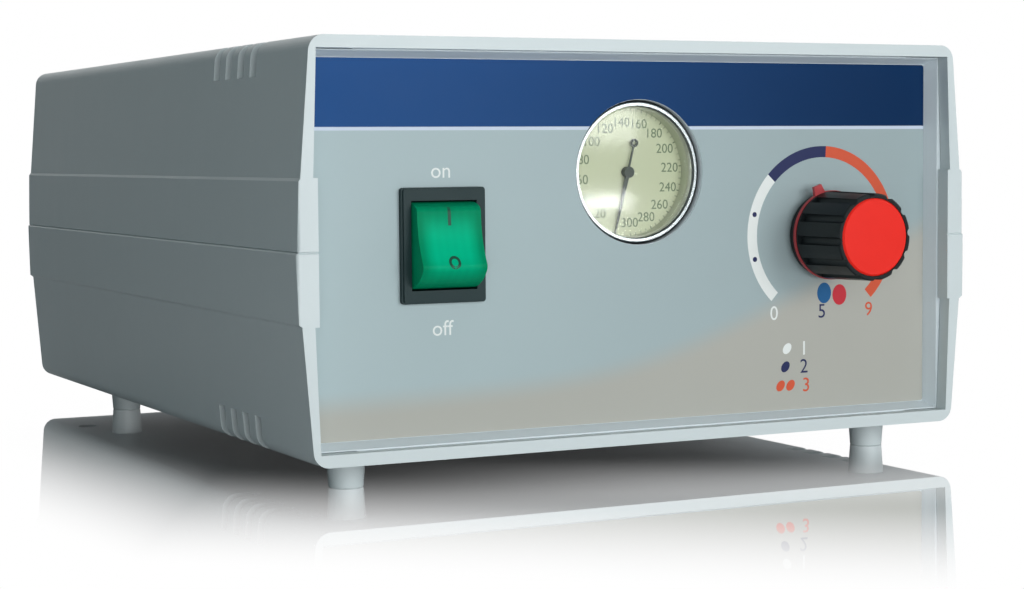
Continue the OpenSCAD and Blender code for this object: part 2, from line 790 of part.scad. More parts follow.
knob_gap = 1;
skirt_top = 4.4;
ring_t = 1.2;
ring_r = knob_r - 1.6;
skirt_r = knob_r - 0.9;
knob_edge = 0.4;
knob_rim_r = knob_r - 0.6;
cap_r = knob_rim_r - rim_w;
cap_t = 1.6;
cap_proud = 0.3;
flute_r = 1.3;
flute_d = min(1, rim_w - fit / 2 - 0.3);
bush_reach = 4.2;
nut_t = 2.6;
flat = 0.6;
spindle_reach = 19;
body_r = 13;
wall_t = 3.2;
chamber = 16;
collar_t = 1.9;
thread_pitch = 4;
plunger_z = -15;
plunger_t = 6;
spring_z = -32;
chamber_z = -36;
regulator_z = -39;

// A shaft section with a flat on one side
module d_shape(r, cut) {
    intersection() {
        circle(r = r);
        translate([-r, -r]) square([2 * r, 2 * r - cut]);
    }
}

module knob_body() {
    rim_z = knob_len - cap_proud;
    color(ink_black) on_front(knob_x, knob_z) rotate(knob_rest) difference() {
        rotate_extrude() polygon([[0, knob_gap], [skirt_r - knob_edge, knob_gap],
            [skirt_r, knob_gap + knob_edge], [skirt_r, skirt_top], [ring_r, skirt_top],
            [ring_r, skirt_top + ring_t], [knob_r - knob_edge / 2, skirt_top + ring_t],
            [knob_rim_r, rim_z - knob_edge], [knob_rim_r - knob_edge, rim_z], [0, rim_z]]);
        for (i = [0:flute_n - 1]) rotate((i + 0.5) * 360 / flute_n)
            translate([knob_rim_r + flute_r - flute_d, 0, skirt_top + ring_t + 0.8])
                cylinder(r = flute_r, h = knob_len);
        cylinder(r = ring_r - 1.4, h = bush_reach + 0.4);
        linear_extrude(height = spindle_reach + 0.3) d_shape(spindle_r + fit / 2, flat);
        translate([0, 0, rim_z - cap_t]) cylinder(r = cap_r + fit / 2, h = cap_t + 1);
    }
}

module knob_cap() {
    bevel = 0.5;
    color(knob_red) on_front(knob_x, knob_z) translate([0, 0, knob_len - cap_proud - cap_t]) rotate_extrude()
        polygon([[0, 0], [cap_r, 0], [cap_r, cap_t + cap_proud - bevel], [cap_r - bevel, cap_t + cap_proud],
            [0, cap_t + cap_proud]]);
}

// A thin coloured ring with the tab that points at the scale
module knob_pointer() {
    tab_w = 4.3;
    tab_end = 2.6;
    tab_reach = 2.4;
    color(knob_red) on_front(knob_x, knob_z) rotate(knob_rest) translate([0, 0, skirt_top + play])
        linear_extrude(height = ring_t - 2 * play) difference() {
            union() {
                circle(r = knob_r);
                polygon([[-tab_w / 2, ring_r], [tab_w / 2, ring_r], [tab_end / 2, knob_r + tab_reach],
                    [-tab_end / 2, knob_r + tab_reach]]);
            }
            circle(r = ring_r + play);
        }
}

module regulator_body() {
    color(steel) on_front(knob_x, knob_z) difference() {
        union() {
            translate([0, 0, -panel_back - wall_t]) cylinder(r = bush_r, h = panel_back + wall_t + bush_reach);
            translate([0, 0, regulator_z]) cylinder(r = body_r, h = -regulator_z - panel_back);
            translate([0, 0, regulator_z - barb_l]) cylinder(r = barb_r, h = barb_l + eps);
        }
        translate([0, 0, -cut_d - wall_t]) cylinder(r = spindle_r + run, h = cut_d + wall_t + bush_reach + 1);
        translate([0, 0, chamber_z]) plate(chamber, chamber, -chamber_z - panel_back - wall_t, 1.5);
        translate([0, 0, regulator_z - barb_l - 1]) cylinder(r = barb_bore, h = barb_l + chamber_z - regulator_z + 2);
        for (a = [0, 90]) rotate(a) translate([0, 0, spring_z + 3]) rotate([90, 0, 0])
            translate([0, 0, -body_r - 1]) cylinder(r = 1, h = 2 * body_r + 2);
    }
}

module regulator_nut() {
    color(steel) on_front(knob_x, knob_z) difference() {
        cylinder(r = 8, h = nut_t, $fn = 6);
        translate([0, 0, -1]) cylinder(r = bush_r + run, h = nut_t + 2);
    }
}

module regulator_spindle() {
    collar_z = -panel_back - wall_t - play;
    color(brass) on_front(knob_x, knob_z) rotate(knob_rest) {
        translate([0, 0, bush_reach + 0.4]) linear_extrude(height = spindle_reach - bush_reach - 0.4)
            d_shape(spindle_r, flat);
        translate([0, 0, plunger_z - plunger_t - 3]) cylinder(r = spindle_r, h = 3 + plunger_t - plunger_z + bush_reach + 0.4 + eps);
        translate([0, 0, collar_z - collar_t]) cylinder(r = spindle_r + 1.4, h = collar_t);
    }
}

// The square follower that the spindle's thread drives down onto the spring
module regulator_plunger() {
    color(brass) on_front(knob_x, knob_z) translate([0, 0, plunger_z - plunger_t]) difference() {
        plate(chamber - 0.6, chamber - 0.6, plunger_t, 1.3);
        translate([0, 0, -1]) cylinder(r = spindle_r + run, h = plunger_t + 2);
    }
}

spring_wire = 0.7;
spring_r = 5.4;
spring_turns = 4;
spring_steps = 12;

module regulator_spring() {
    low = spring_z + spring_wire + play;
    high = plunger_z - plunger_t - spring_wire - play;
    n = spring_turns * spring_steps;
    path = [for (i = [0:n]) let (a = i * 360 / spring_steps)
        [spring_r * cos(a), spring_r * sin(a), low + (high - low) * i / n]];
    color(steel) on_front(knob_x, knob_z) sweep(path, spring_wire, 0, 6, [0, 0, 1]);
}

module regulator_poppet() {
    color(brass) on_front(knob_x, knob_z) {
        translate([0, 0, spring_z - 1.5]) plate(chamber - 0.6, chamber - 0.6, 1.5, 1.3);
        translate([0, 0, chamber_z + 0.3]) cylinder(r1 = 1.2, r2 = 3, h = spring_z - 1.5 - chamber_z - 0.3 + eps);
    }
}

// Linear diaphragm pump: x along the armature, origin on its axis ------------------------------------

base_t = 2;
base_drop = 27;
frame_floor = 3;
end_x = 38;
end_t = 4;
rubber_t = 2;
head_x = end_x + end_t + rubber_t;
head_w = 2 * diaphragm_r + 10;
head_flange = 5;
head_len = 14;
screw_at = diaphragm_r;
stack = 10;
pole = 8;
window = 10;
pole_gap = 1.6;
bar_y = 4.4;
tip_y = bar_y + pole_gap;
pole_l = 16;
core_w = 3 * pole + 2 * window;
coil_y = 1.5;
coil_l = 13;
coil_t = 8;
mount_r = 5;
mount_seat = 4;
mount_cup = 2;
neck_r = 3;
mount_dx = 38;
mount_dy = 39;
mount_places = [for (x = [-1, 1], y = [-1, 1]) [pump_x + x * mount_dx, pump_y + y * mount_dy]];
barb_r = 1.9;
barb_bore = 1.1;
barb_l = 12;
washer_r = 10;
outlet_x_in = 9.5;

module in_pump() {
    translate([pump_x, pump_y, pump_z]) children();
}

// Frame on the pump's right or left end, with z out along the armature
module at_end(s) {
    in_pump() rotate([0, 90 * s, 0]) children();
}

module pump_base() {
    w = 2 * mount_dx + 14;
    d = 2 * mount_dy + 12;
    color(steel) in_pump() translate([0, 0, -base_drop - base_t]) difference() {
        plate(w, d, base_t, 5);
        for (x = [-1, 1], y = [-1, 1]) translate([x * mount_dx, y * mount_dy, -1]) cylinder(r = neck_r + fit, h = base_t + 2);
        translate([0, 0, -1]) plate(40, 24, base_t + 2, 3);
        for (p = frame_screws) translate([p[0], p[1], -1]) cylinder(r = screw_r + run, h = base_t + 2);
    }
}

frame_screws = [for (x = [-1, 1], y = [-1, 1]) [x * 30, y * 27]];
core_screws = [for (x = [-1, 1], y = [-1, 1]) [x * (core_w / 2 - pole / 2), y * (tip_y + pole_l + pole / 2)]];

// Four rubber buttons that hold the base plate in a neck and stand in the lower shell's cups
module pump_mounts() {
    low = floor_z + mount_seat - mount_cup;
    high = pump_z - base_drop - base_t;
    color(rubber) for (p = mount_places) translate([p[0], p[1], 0]) rotate_extrude()
        polygon([[0, low], [mount_r, low], [mount_r, high], [neck_r, high], [neck_r, high + base_t],
            [mount_r - 0.8, high + base_t], [mount_r - 1.8, high + base_t + 2.5], [0, high + base_t + 2.5]]);
}

module pump_frame() {
    depth = 2 * (tip_y + pole_l + pole) + 4;
    seat = base_drop - stack;
    color(ink_black) in_pump() difference() {
        union() {
            translate([0, 0, -base_drop]) slab(2 * end_x + 2, depth, frame_floor);
            for (s = [-1, 1]) translate([s * (end_x + end_t / 2), 0, -base_drop]) slab(end_t, head_w, base_drop + head_w / 2);
            for (x = [-1, 1], y = [-1, 1]) translate([x * (core_w / 2 - pole / 2), y * (tip_y + pole_l / 2 + pole / 2), -base_drop])
                slab(pole, pole_l + pole, seat);
            for (x = [-1, 1], y = [-1, 1]) end_gusset(x, y);
        }
        rotate([0, 90, 0]) translate([0, 0, -end_x - end_t - 1]) cylinder(r = diaphragm_r - 4.5, h = 2 * (end_x + end_t + 1));
        for (s = [-1, 1]) rotate([0, 90 * s, 0]) for (x = [-1, 1], y = [-1, 1])
            translate([x * screw_at, y * screw_at, end_x - 1]) cylinder(r = screw_r + run, h = end_t + 2);
        for (p = frame_screws) translate([p[0], p[1], -base_drop - 1]) cylinder(r = screw_r + fit, h = frame_floor + 2);
        for (p = core_screws) translate([p[0], p[1], -stack - 9]) cylinder(r = screw_r + run, h = 10);
    }
}

// A triangular web between the frame's floor and an end plate
module end_gusset(x, y) {
    size = 12;
    thick = 3;
    translate([x * (end_x + eps), y * (head_w / 2 - 4) + thick / 2, -base_drop + frame_floor - eps]) rotate([90, 0, 0])
        linear_extrude(height = thick) polygon([[0, 0], [-x * size, 0], [0, size]]);
}

module pump_cores() {
    color(steel) in_pump() for (s = [-1, 1]) scale([1, s, 1]) translate([0, 0, -stack]) linear_extrude(height = 2 * stack) difference() {
        union() {
            for (x = [-1:1]) translate([x * (pole + window) - pole / 2, tip_y]) square([pole, pole_l + eps]);
            translate([-core_w / 2, tip_y + pole_l]) square([core_w, pole]);
        }
        for (x = [-1, 1]) translate([x * (core_w / 2 - pole / 2), tip_y + pole_l + pole / 2]) circle(r = screw_r + fit);
    }
}

module pump_coils() {
    w = pole + 2 * (window - 1);
    h = 2 * (stack + coil_t);
    color(copper) in_pump() for (s = [-1, 1]) rotate([-90 * s, 0, 0]) translate([0, 0, tip_y + coil_y]) difference() {
        plate(w, h, coil_l, 4);
        translate([0, 0, -1]) plate(pole + 2 * fit, 2 * (stack + fit), coil_l + 2, 0.3);
    }
}

// The magnet bar with its stems, clamping washers and nuts
module pump_armature() {
    bar = end_x - 6;
    color(steel) in_pump() {
        translate([-bar, -bar_y, -stack + 1]) cube([2 * bar, 2 * bar_y, 2 * (stack - 1)]);
        for (s = [-1, 1]) rotate([0, 90 * s, 0]) {
            translate([0, 0, bar - eps]) cylinder(r = 5, h = head_x - rubber_t - 3 - bar + 2 * eps);
            translate([0, 0, head_x - rubber_t - 3]) cylinder(r = washer_r, h = 3);
            translate([0, 0, bar]) cylinder(r = 2.5, h = head_x + 5 - bar);
            translate([0, 0, head_x]) cylinder(r = washer_r, h = 1.5);
            translate([0, 0, head_x + 1.5 - eps]) cylinder(r = 4.5, h = 2.5, $fn = 6);
        }
    }
}

// A moulded diaphragm: clamped rim, thin fold, clamped centre
module diaphragm(s) {
    fold_mid = (washer_r + diaphragm_r - 4.5) / 2;
    fold_r = (diaphragm_r - 4.5 - washer_r) / 2;
    thin = 0.9;
    color(rubber) at_end(s) translate([0, 0, head_x - rubber_t]) rotate_extrude()
        polygon(concat([[2.5, 0], [fold_mid - fold_r, 0]],
            [for (p = arc([0, 0], 1, 170, 10, 8)) [fold_mid + fold_r * p[0], p[1] * fold_r * 0.8 - 0.2 + thin]],
            [[fold_mid + fold_r, 0], [diaphragm_r, 0], [diaphragm_r, rubber_t], [fold_mid + fold_r, rubber_t]],
            [for (p = arc([0, 0], 1, 10, 170, 8)) [fold_mid + fold_r * p[0], p[1] * fold_r * 0.8 - 0.2 + 2 * thin]],
            [[fold_mid - fold_r, rubber_t], [2.5, rubber_t]]));
}

module diaphragm_left() {
    diaphragm(-1);
}

module diaphragm_right() {
    diaphragm(1);
}

// Both pump heads; the barb on top is the outlet on the right one and the inlet on the left one
module pump_heads() {
    dome = diaphragm_r;
    room = 9;
    color(ink_black) for (s = [-1, 1]) difference() {
        union() {
            at_end(s) translate([0, 0, head_x]) plate(head_w, head_w, head_flange, 5);
            at_end(s) translate([0, 0, head_x - rubber_t]) ring(diaphragm_r + 4, diaphragm_r + fit, rubber_t + eps);
            at_end(s) translate([0, 0, head_x + head_flange - eps]) cylinder(r = dome, h = head_len - head_flange);
            in_pump() translate([s * (head_x + outlet_x_in), 0, dome - 5]) {
                cylinder(r = barb_r + 1.6, h = 8);
                cylinder(r = barb_r, h = 8 + barb_l);
            }
        }
        at_end(s) translate([0, 0, head_x - 1]) cylinder(r = diaphragm_r - 2.5, h = room + 1);
        in_pump() translate([s * (head_x + outlet_x_in), 0, dome - 6]) cylinder(r = barb_bore, h = 10 + barb_l);
        at_end(s) for (x = [-1, 1], y = [-1, 1]) translate([x * screw_at, y * screw_at, head_x - 1])
            cylinder(r = screw_r + fit, h = head_flange + 2);
    }
}

module pump_screws() {
    color(steel) {
        for (s = [-1, 1], x = [-1, 1], y = [-1, 1]) at_end(s) translate([x * screw_at, y * screw_at, head_x + head_flange])
            pan_screw(head_flange + rubber_t + end_t - 0.5);
        in_pump() for (p = frame_screws) translate([p[0], p[1], -base_drop + frame_floor]) pan_screw(frame_floor + base_t + 0.5);
        in_pump() for (p = core_screws) translate([p[0], p[1], stack]) pan_screw(2 * stack + 8);
    }
}

// Sequence distributor and its geared motor ------------------------------------------------------------

bracket_t = 2;
bracket_half = 33;
bracket_top = 27;
bracket_seat = 4;
bracket_boss_r = 4;
bracket_foot = 18;
bracket_feet = [for (x = [-1, 1]) [valve_x + x * 22, bracket_y - bracket_foot / 2 - bracket_t / 2]];
motor_len = 22;
ear_x = 29.5;
ear_t = 2;
shaft_r = 3;
valve_w = 2 * valve_r;
chamber_in = 6;
body_l = 18;
cover_l = 6;
disc_t = 6;
disc_r = valve_r - 6;
valve_screw_at = valve_r - 3.5;
port_places = [for (a = [225, 135, 45, 315]) port_r * [cos(a), sin(a)]];
inlet_barbs = [-14, 0, 14];
inlet_barb_z = 12;

module in_valve() {
    to_rear([valve_x, bracket_y, valve_z]) children();
}

// Sheet-steel angle: an upright plate for the motor and valve, a foot towards the front
module motor_bracket() {
    drop = valve_z - floor_z - bracket_seat;
    color(steel) difference() {
        union() {
            in_valve() translate([-bracket_half, -drop, -bracket_t]) cube([2 * bracket_half, drop + bracket_top, bracket_t]);
            translate([valve_x, bracket_y - bracket_foot / 2, floor_z + bracket_seat]) slab(2 * bracket_half, bracket_foot, bracket_t);
        }
        in_valve() translate([0, 0, -bracket_t - 1]) {
            cylinder(r = shaft_r + 2, h = bracket_t + 2);
            for (x = [-1, 1]) translate([x * ear_x, 0]) cylinder(r = screw_r + fit, h = bracket_t + 2);
            for (x = [-1, 1], y = [-1, 1]) translate([x * valve_screw_at, y * valve_screw_at]) cylinder(r = screw_r + run, h = bracket_t + 2);
        }
        for (p = bracket_feet) translate([p[0], p[1], floor_z]) cylinder(r = screw_r + fit, h = 10);
    }
}

module gear_motor() {
    color(trim_grey) in_valve() difference() {
        union() {
            translate([0, 0, -bracket_t - motor_len]) cylinder(r = motor_r, h = motor_len);
            translate([0, 0, -bracket_t - motor_len - 3]) cylinder(r = motor_r - 3, h = 3 + eps);
            translate([0, 0, -bracket_t - ear_t]) plate(2 * ear_x + 6, 9, ear_t, 4);
        }
        translate([0, 0, -bracket_t - 9]) cylinder(r = shaft_r + run, h = 10);
        for (x = [-1, 1]) translate([x * ear_x, 0, -bracket_t - ear_t - 1]) cylinder(r = screw_r + fit, h = ear_t + 2);
    }
}

module drive_shaft() {
    color(steel) in_valve() translate([0, 0, -bracket_t - 8.5]) cylinder(r = shaft_r, h = bracket_t + 8.5 + body_l - 1);
}

module valve_body() {
    color(white_plastic) in_valve() difference() {
        union() {
            plate(valve_w, valve_w, body_l, 6);
            for (x = inlet_barbs) translate([x, valve_r - eps, inlet_barb_z]) rotate([-90, 0, 0]) {
                cylinder(r = barb_r + 1.6, h = 2);
                cylinder(r = barb_r, h = 2 + barb_l);
            }
        }
        translate([0, 0, -1]) cylinder(r = shaft_r + run, h = chamber_in + 2);
        translate([0, 0, chamber_in]) cylinder(r = disc_r + 1, h = body_l);
        for (x = inlet_barbs) translate([x, disc_r / 2, inlet_barb_z]) rotate([-90, 0, 0]) cylinder(r = barb_bore, h = valve_r + barb_l);
        valve_screw_holes();
    }
}

module valve_screw_holes() {
    for (x = [-1, 1], y = [-1, 1]) translate([x * valve_screw_at, y * valve_screw_at, -1])
        cylinder(r = screw_r + fit, h = body_l + cover_l + 2);
}

// The turning disc: a curved slot feeds the ports one after another
module valve_disc() {
    slot = 32;
    slot_w = 2;
    color(brass) in_valve() translate([0, 0, body_l - disc_t - play]) difference() {
        cylinder(r = disc_r, h = disc_t);
        translate([0, 0, -1]) cylinder(r = shaft_r + play / 2, h = disc_t + 2);
        translate([0, 0, -1]) linear_extrude(height = disc_t + 2) polygon(concat(
            arc([0, 0], port_r + slot_w, 45 - slot, 45 + slot, 12), arc([0, 0], port_r - slot_w, 45 + slot, 45 - slot, 12)));
    }
}

module valve_cover() {
    color(white_plastic) in_valve() translate([0, 0, body_l]) difference() {
        union() {
            plate(valve_w, valve_w, cover_l, 6);
            for (p = port_places) translate([p[0], p[1], cover_l - eps]) {
                cylinder(r = barb_r + 1.6, h = 1.5);
                cylinder(r = barb_r, h = 1.5 + barb_l);
            }
        }
        for (p = port_places) translate([p[0], p[1], -1]) cylinder(r = barb_bore, h = cover_l + barb_l + 4);
        translate([0, 0, -body_l]) valve_screw_holes();
    }
}

// Identical screws: the valve's four long ones, the motor's two and the bracket's two
module motor_screws() {
    color(steel) {
        in_valve() for (x = [-1, 1], y = [-1, 1]) translate([x * valve_screw_at, y * valve_screw_at, body_l + cover_l])
            pan_screw(body_l + cover_l + bracket_t);
        in_valve() for (x = [-1, 1]) translate([x * ear_x, 0, 0]) pan_screw(bracket_t + ear_t + 2);
        for (p = bracket_feet) translate([p[0], p[1], floor_z + bracket_seat + bracket_t]) pan_screw(bracket_t + bracket_seat - 0.5);
    }
}

// Cuff outlets -----------------------------------------------------------------------------------------

stem_r = 5;
stem_l = 9;
collar_r = 7;
collar_h = 2.5;
nozzle_nut_t = 4;
spigot_bore = 2.2;

function outlet_at(i) = outlet_x + (i - (outlet_n - 1) / 2) * outlet_pitch;

// Each outlet is one turned piece: spigot, collar, threaded stem and inner barb
module outlet_nozzles() {
    reach = outlet_reach + border_d;
    chamfer = 0.8;
    color(white_plastic) for (i = [0:outlet_n - 1]) on_rear(outlet_at(i), outlet_z) rotate_extrude()
        polygon([[barb_bore, -stem_l - barb_l], [barb_r, -stem_l - barb_l], [barb_r, -stem_l], [stem_r, -stem_l],
            [stem_r, 0], [collar_r, 0], [collar_r, collar_h - 0.4], [collar_r - 0.4, collar_h], [spigot_r, collar_h],
            [spigot_r, reach - chamfer], [spigot_r - chamfer, reach], [spigot_bore, reach], [spigot_bore, 0],
            [barb_bore, -spigot_bore]]);
}

module nozzle_nuts() {
    color(steel) for (i = [0:outlet_n - 1]) on_rear(outlet_at(i), outlet_z)
        translate([0, 0, -tongue_t - nozzle_nut_t]) difference() {
            cylinder(r = 8, h = nozzle_nut_t, $fn = 6);
            translate([0, 0, -1]) cylinder(r = stem_r + run, h = nozzle_nut_t + 2);
        }
}

// Mains inlet with a fuse drawer above the socket ----------------------------------------------------

inlet_w = 27.6;
inlet_h = 31;
inlet_flange_w = 50;
inlet_flange_t = 2.5;
inlet_screw_x = 20;
inlet_depth = 24;
socket_w = 24;
socket_h = 16.4;
socket_d = 17;
socket_y = -5;
socket_cham = 5;
drawer_y = 9.3;
drawer_w = 22;
drawer_h = 7;
drawer_d = 20.5;
drawer_front_t = 2;
fuse_r = 2.5;
fuse_l = 20 - 1;
fuse_x = 5.5;
pin_places = [[-7, -1.5], [7, -1.5], [0, 1.5]];
pin_w = 2;
pin_h = 4;
pin_out = 13;

// The socket's outline: a rectangle with its two upper corners cut off
module socket_outline(w, h, cham) {
    polygon(closed([[w / 2, -h / 2], [w / 2, h / 2 - cham], [w / 2 - cham, h / 2]]));
}

module mains_inlet() {
    color(ink_black) on_rear(inlet_x, inlet_z) difference() {
        union() {
            plate(inlet_flange_w, inlet_h + 2, inlet_flange_t, 5);
            translate([0, 0, -inlet_depth]) plate(inlet_w, inlet_h, inlet_depth + eps, 1);
        }
        translate([0, socket_y, inlet_flange_t - socket_d]) linear_extrude(height = socket_d + 1)
            socket_outline(socket_w, socket_h, socket_cham);
        translate([0, drawer_y, inlet_flange_t - drawer_d - fit]) linear_extrude(height = drawer_d + fit + 1)
            square([drawer_w + 2 * fit, drawer_h + 2 * fit], center = true);
        for (p = pin_places) translate([p[0], socket_y + p[1], -inlet_depth - 1]) slab(pin_w + 2 * run, pin_h + 2 * run, inlet_depth);
        for (s = [-1, 1]) translate([s * inlet_screw_x, 0, -1]) cylinder(r = screw_r + fit, h = inlet_flange_t + 2);
    }
}

module inlet_blades() {
    color(brass) on_rear(inlet_x, inlet_z) for (p = pin_places)
        translate([p[0], socket_y + p[1], -inlet_depth - 8]) slab(pin_w, pin_h, 8 + inlet_depth + inlet_flange_t - socket_d + pin_out);
}

module fuse_drawer() {
    color(ink_black) on_rear(inlet_x, inlet_z) translate([0, drawer_y, inlet_flange_t]) difference() {
        union() {
            translate([0, 0, -drawer_d]) linear_extrude(height = drawer_d + eps) square([drawer_w, drawer_h], center = true);
            plate(drawer_w + 2, drawer_h + 1.6, drawer_front_t, 0.8);
            translate([0, -drawer_h / 2 + 1, drawer_front_t - eps]) plate(8, 1.4, 1, 0.6);
        }
        for (s = [-1, 1]) translate([s * fuse_x, 0, -drawer_d + 0.6]) {
            cylinder(r = fuse_r + run, h = fuse_l + 0.2);
            translate([0, drawer_h / 4 + 0.5]) slab(2 * (fuse_r + run), drawer_h / 2 + 1, fuse_l + 0.2);
        }
    }
}

module fuses() {
    cap_l = 5;
    color(steel) on_rear(inlet_x, inlet_z) for (s = [-1, 1])
        translate([s * fuse_x, drawer_y, inlet_flange_t - drawer_d + 0.7]) {
            cylinder(r = fuse_r - 0.2, h = fuse_l);
            cylinder(r = fuse_r, h = cap_l);
            translate([0, 0, fuse_l - cap_l]) cylinder(r = fuse_r, h = cap_l);
        }
}

module inlet_screws() {
    color(steel) on_rear(inlet_x, inlet_z) for (s = [-1, 1]) translate([s * inlet_screw_x, 0, inlet_flange_t])
        pan_screw(inlet_flange_t + tongue_t + 3);
}

// Inner hoses ------------------------------------------------------------------------------------------

hose_steps = 12;
grip = 11;
mouth_gap = 0.4;

function unit(v) = v / norm(v);
function bezier(a, b, c, d, t) =
    a * pow(1 - t, 3) + 3 * b * pow(1 - t, 2) * t + 3 * c * (1 - t) * pow(t, 2) + d * pow(t, 3);

// From a barb at a, pointing along u, to a barb at b, pointing along v; the pulls set the curve's fullness
function hose_path(a, u, b, v, pull_a, pull_b) =
    let (a1 = a + grip * u, b1 = b + grip * v)
    concat([a], [for (i = [0:hose_steps]) bezier(a1, a1 + pull_a * u, b1 + pull_b * v, b1, i / hose_steps)], [b]);

function heading(path, i) = unit(path[min(i + 1, len(path) - 1)] - path[max(i - 1, 0)]);
function tube_ring(c, t, ref, r, sides) =
    let (x = unit(cross(ref, t)), y = cross(t, x))
    [for (k = [0:sides - 1]) c + r * (cos(k * 360 / sides) * x + sin(k * 360 / sides) * y)];

// Joins ring i to the next one; the inner wall of a hollow tube is turned inside out
function wall_faces(i, sides, off) = [for (k = [0:sides - 1], f = [0, 1])
    let (a = off + i * sides + k, b = off + i * sides + (k + 1) % sides)
    f == 0 ? [a, b, b + sides] : [a, b + sides, a + sides]];
function flipped(faces) = [for (f = faces) [f[2], f[1], f[0]]];

// Sweeps a round tube along a path; ref is a direction that the path never points along
module sweep(path, r, bore, sides, ref) {
    n = len(path);
    size = n * sides;
    outer = [for (i = [0:n - 1]) each tube_ring(path[i], heading(path, i), ref, r, sides)];
    inner = [for (i = [0:n - 1]) each tube_ring(path[i], heading(path, i), ref, bore, sides)];
    walls = [for (i = [0:n - 2]) each wall_faces(i, sides, 0)];
    if (bore == 0) {
        polyhedron(outer, flipped(concat(walls, fan(0, sides, false), fan(size - sides, sides, true))));
    } else {
        bore_walls = [for (i = [0:n - 2]) each wall_faces(i, sides, size)];
        start = [for (k = [0:sides - 1]) each annulus(k, (k + 1) % sides, size)];
        end = [for (k = [0:sides - 1]) each annulus(size - sides + k, size - sides + (k + 1) % sides, size)];
        polyhedron(concat(outer, inner), flipped(concat(walls, flipped(bore_walls), flipped(start), end)));
    }
}

function annulus(a, b, size) = [[a, b, b + size], [a, b + size, a + size]];
function fan(first, sides, out) = [for (k = [1:sides - 2])
    out ? [first, first + k, first + k + 1] : [first, first + k + 1, first + k]];

// Root and direction of each barb, in the object's frame
function port_end(i) = [valve_x - port_places[i][0], bracket_y + body_l + cover_l + 1.5 + mouth_gap,
    valve_z + port_places[i][1]];
function nozzle_end(i) = [outlet_at(i), rear_y - border_d - stem_l - mouth_gap, outlet_z];
function valve_end(i) = [valve_x - inlet_barbs[i], bracket_y + inlet_barb_z, valve_z + valve_r + 2 + mouth_gap];
pump_end = [pump_x + head_x + outlet_x_in, pump_y, pump_z + diaphragm_r + 3 + mouth_gap];
gauge_end = [0, face_y + cup_d + 8 + mouth_gap, gauge_z];
regulator_end = [knob_x, face_y - regulator_z + mouth_gap, knob_z];

module hose(path, ref) {
    sweep(path, hose_r, hose_bore, 8, ref);
}

module outlet_hoses() {
    left_first = [2, 3, 0, 1];
    color([0.85, 0.87, 0.85]) for (i = [0:3])
        hose(hose_path(port_end(left_first[i]), [0, 1, 0], nozzle_end(i), [0, -1, 0], 25, 25), [0, 0, 1]);
}

module pressure_hoses() {
    color([0.85, 0.87, 0.85]) {
        hose(hose_path(valve_end(2), [0, 0, 1], pump_end, [0, 0, 1], 22, 22), [0, 1, 0]);
        hose(hose_path(valve_end(1), [0, 0, 1], gauge_end, [0, 1, 0], 24, 50), [1, 0, 0]);
        hose(hose_path(valve_end(0), [0, 0, 1], regulator_end, [0, 1, 0], 24, 40), [1, 0, 0]);
    }
}

upper_shell();
lower_shell();
front_panel();
panel_film();
rear_panel();
case_screws();
foot_front_left();
foot_front_right();
foot_rear_left();
foot_rear_right();
foot_screws();
switch_housing();
switch_rocker();
switch_terminals();
gauge_case();
gauge_bezel();
gauge_lens();
gauge_spacer();
gauge_dial();
gauge_needle();
gauge_sector();
gauge_plate();
gauge_capsule();
gauge_clamp();
gauge_screws();
knob_body();
knob_cap();
knob_pointer();
regulator_body();
regulator_nut();
regulator_spindle();
regulator_plunger();
regulator_spring();
regulator_poppet();
pump_base();
pump_mounts();
pump_frame();
pump_cores();
pump_coils();
pump_armature();
diaphragm_left();
diaphragm_right();
pump_heads();
pump_screws();
motor_bracket();
gear_motor();
motor_screws();
valve_body();
valve_disc();
drive_shaft();
valve_cover();
outlet_nozzles();
nozzle_nuts();
mains_inlet();
inlet_blades();
fuse_drawer();
fuses();
inlet_screws();
outlet_hoses();
pressure_hoses();
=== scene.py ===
"""Looks of a compression therapy pump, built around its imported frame. Metres, Z up, front towards -Y."""

import math

import bmesh
import bpy
from bpy.props import FloatProperty, FloatVectorProperty, IntProperty, PointerProperty
from mathutils import Matrix, Vector


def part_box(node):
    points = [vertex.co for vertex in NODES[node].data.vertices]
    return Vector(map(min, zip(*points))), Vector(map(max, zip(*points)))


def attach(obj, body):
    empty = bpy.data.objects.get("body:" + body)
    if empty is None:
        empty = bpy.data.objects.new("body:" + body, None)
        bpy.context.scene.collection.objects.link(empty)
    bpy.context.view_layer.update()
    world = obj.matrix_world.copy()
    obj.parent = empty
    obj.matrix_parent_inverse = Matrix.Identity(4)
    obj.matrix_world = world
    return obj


bl_info = {
    "name": "Compression therapy pump",
    "version": (1, 0, 0),
    "blender": (4, 5, 0),
    "location": "View3D > Sidebar > Pump",
    "description": "Dresses the pump's frame: case, printed panel, switch, gauge, knob and inner works",
    "category": "Object",
}

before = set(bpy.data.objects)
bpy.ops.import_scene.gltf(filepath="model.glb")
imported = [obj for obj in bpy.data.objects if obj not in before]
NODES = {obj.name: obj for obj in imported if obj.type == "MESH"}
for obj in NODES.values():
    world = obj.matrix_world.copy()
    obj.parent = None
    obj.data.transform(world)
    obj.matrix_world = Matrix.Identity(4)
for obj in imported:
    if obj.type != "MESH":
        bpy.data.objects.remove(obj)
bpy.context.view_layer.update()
MM = 0.001

CAPITAL = 0.7  # how tall a figure is, as a share of its font's size

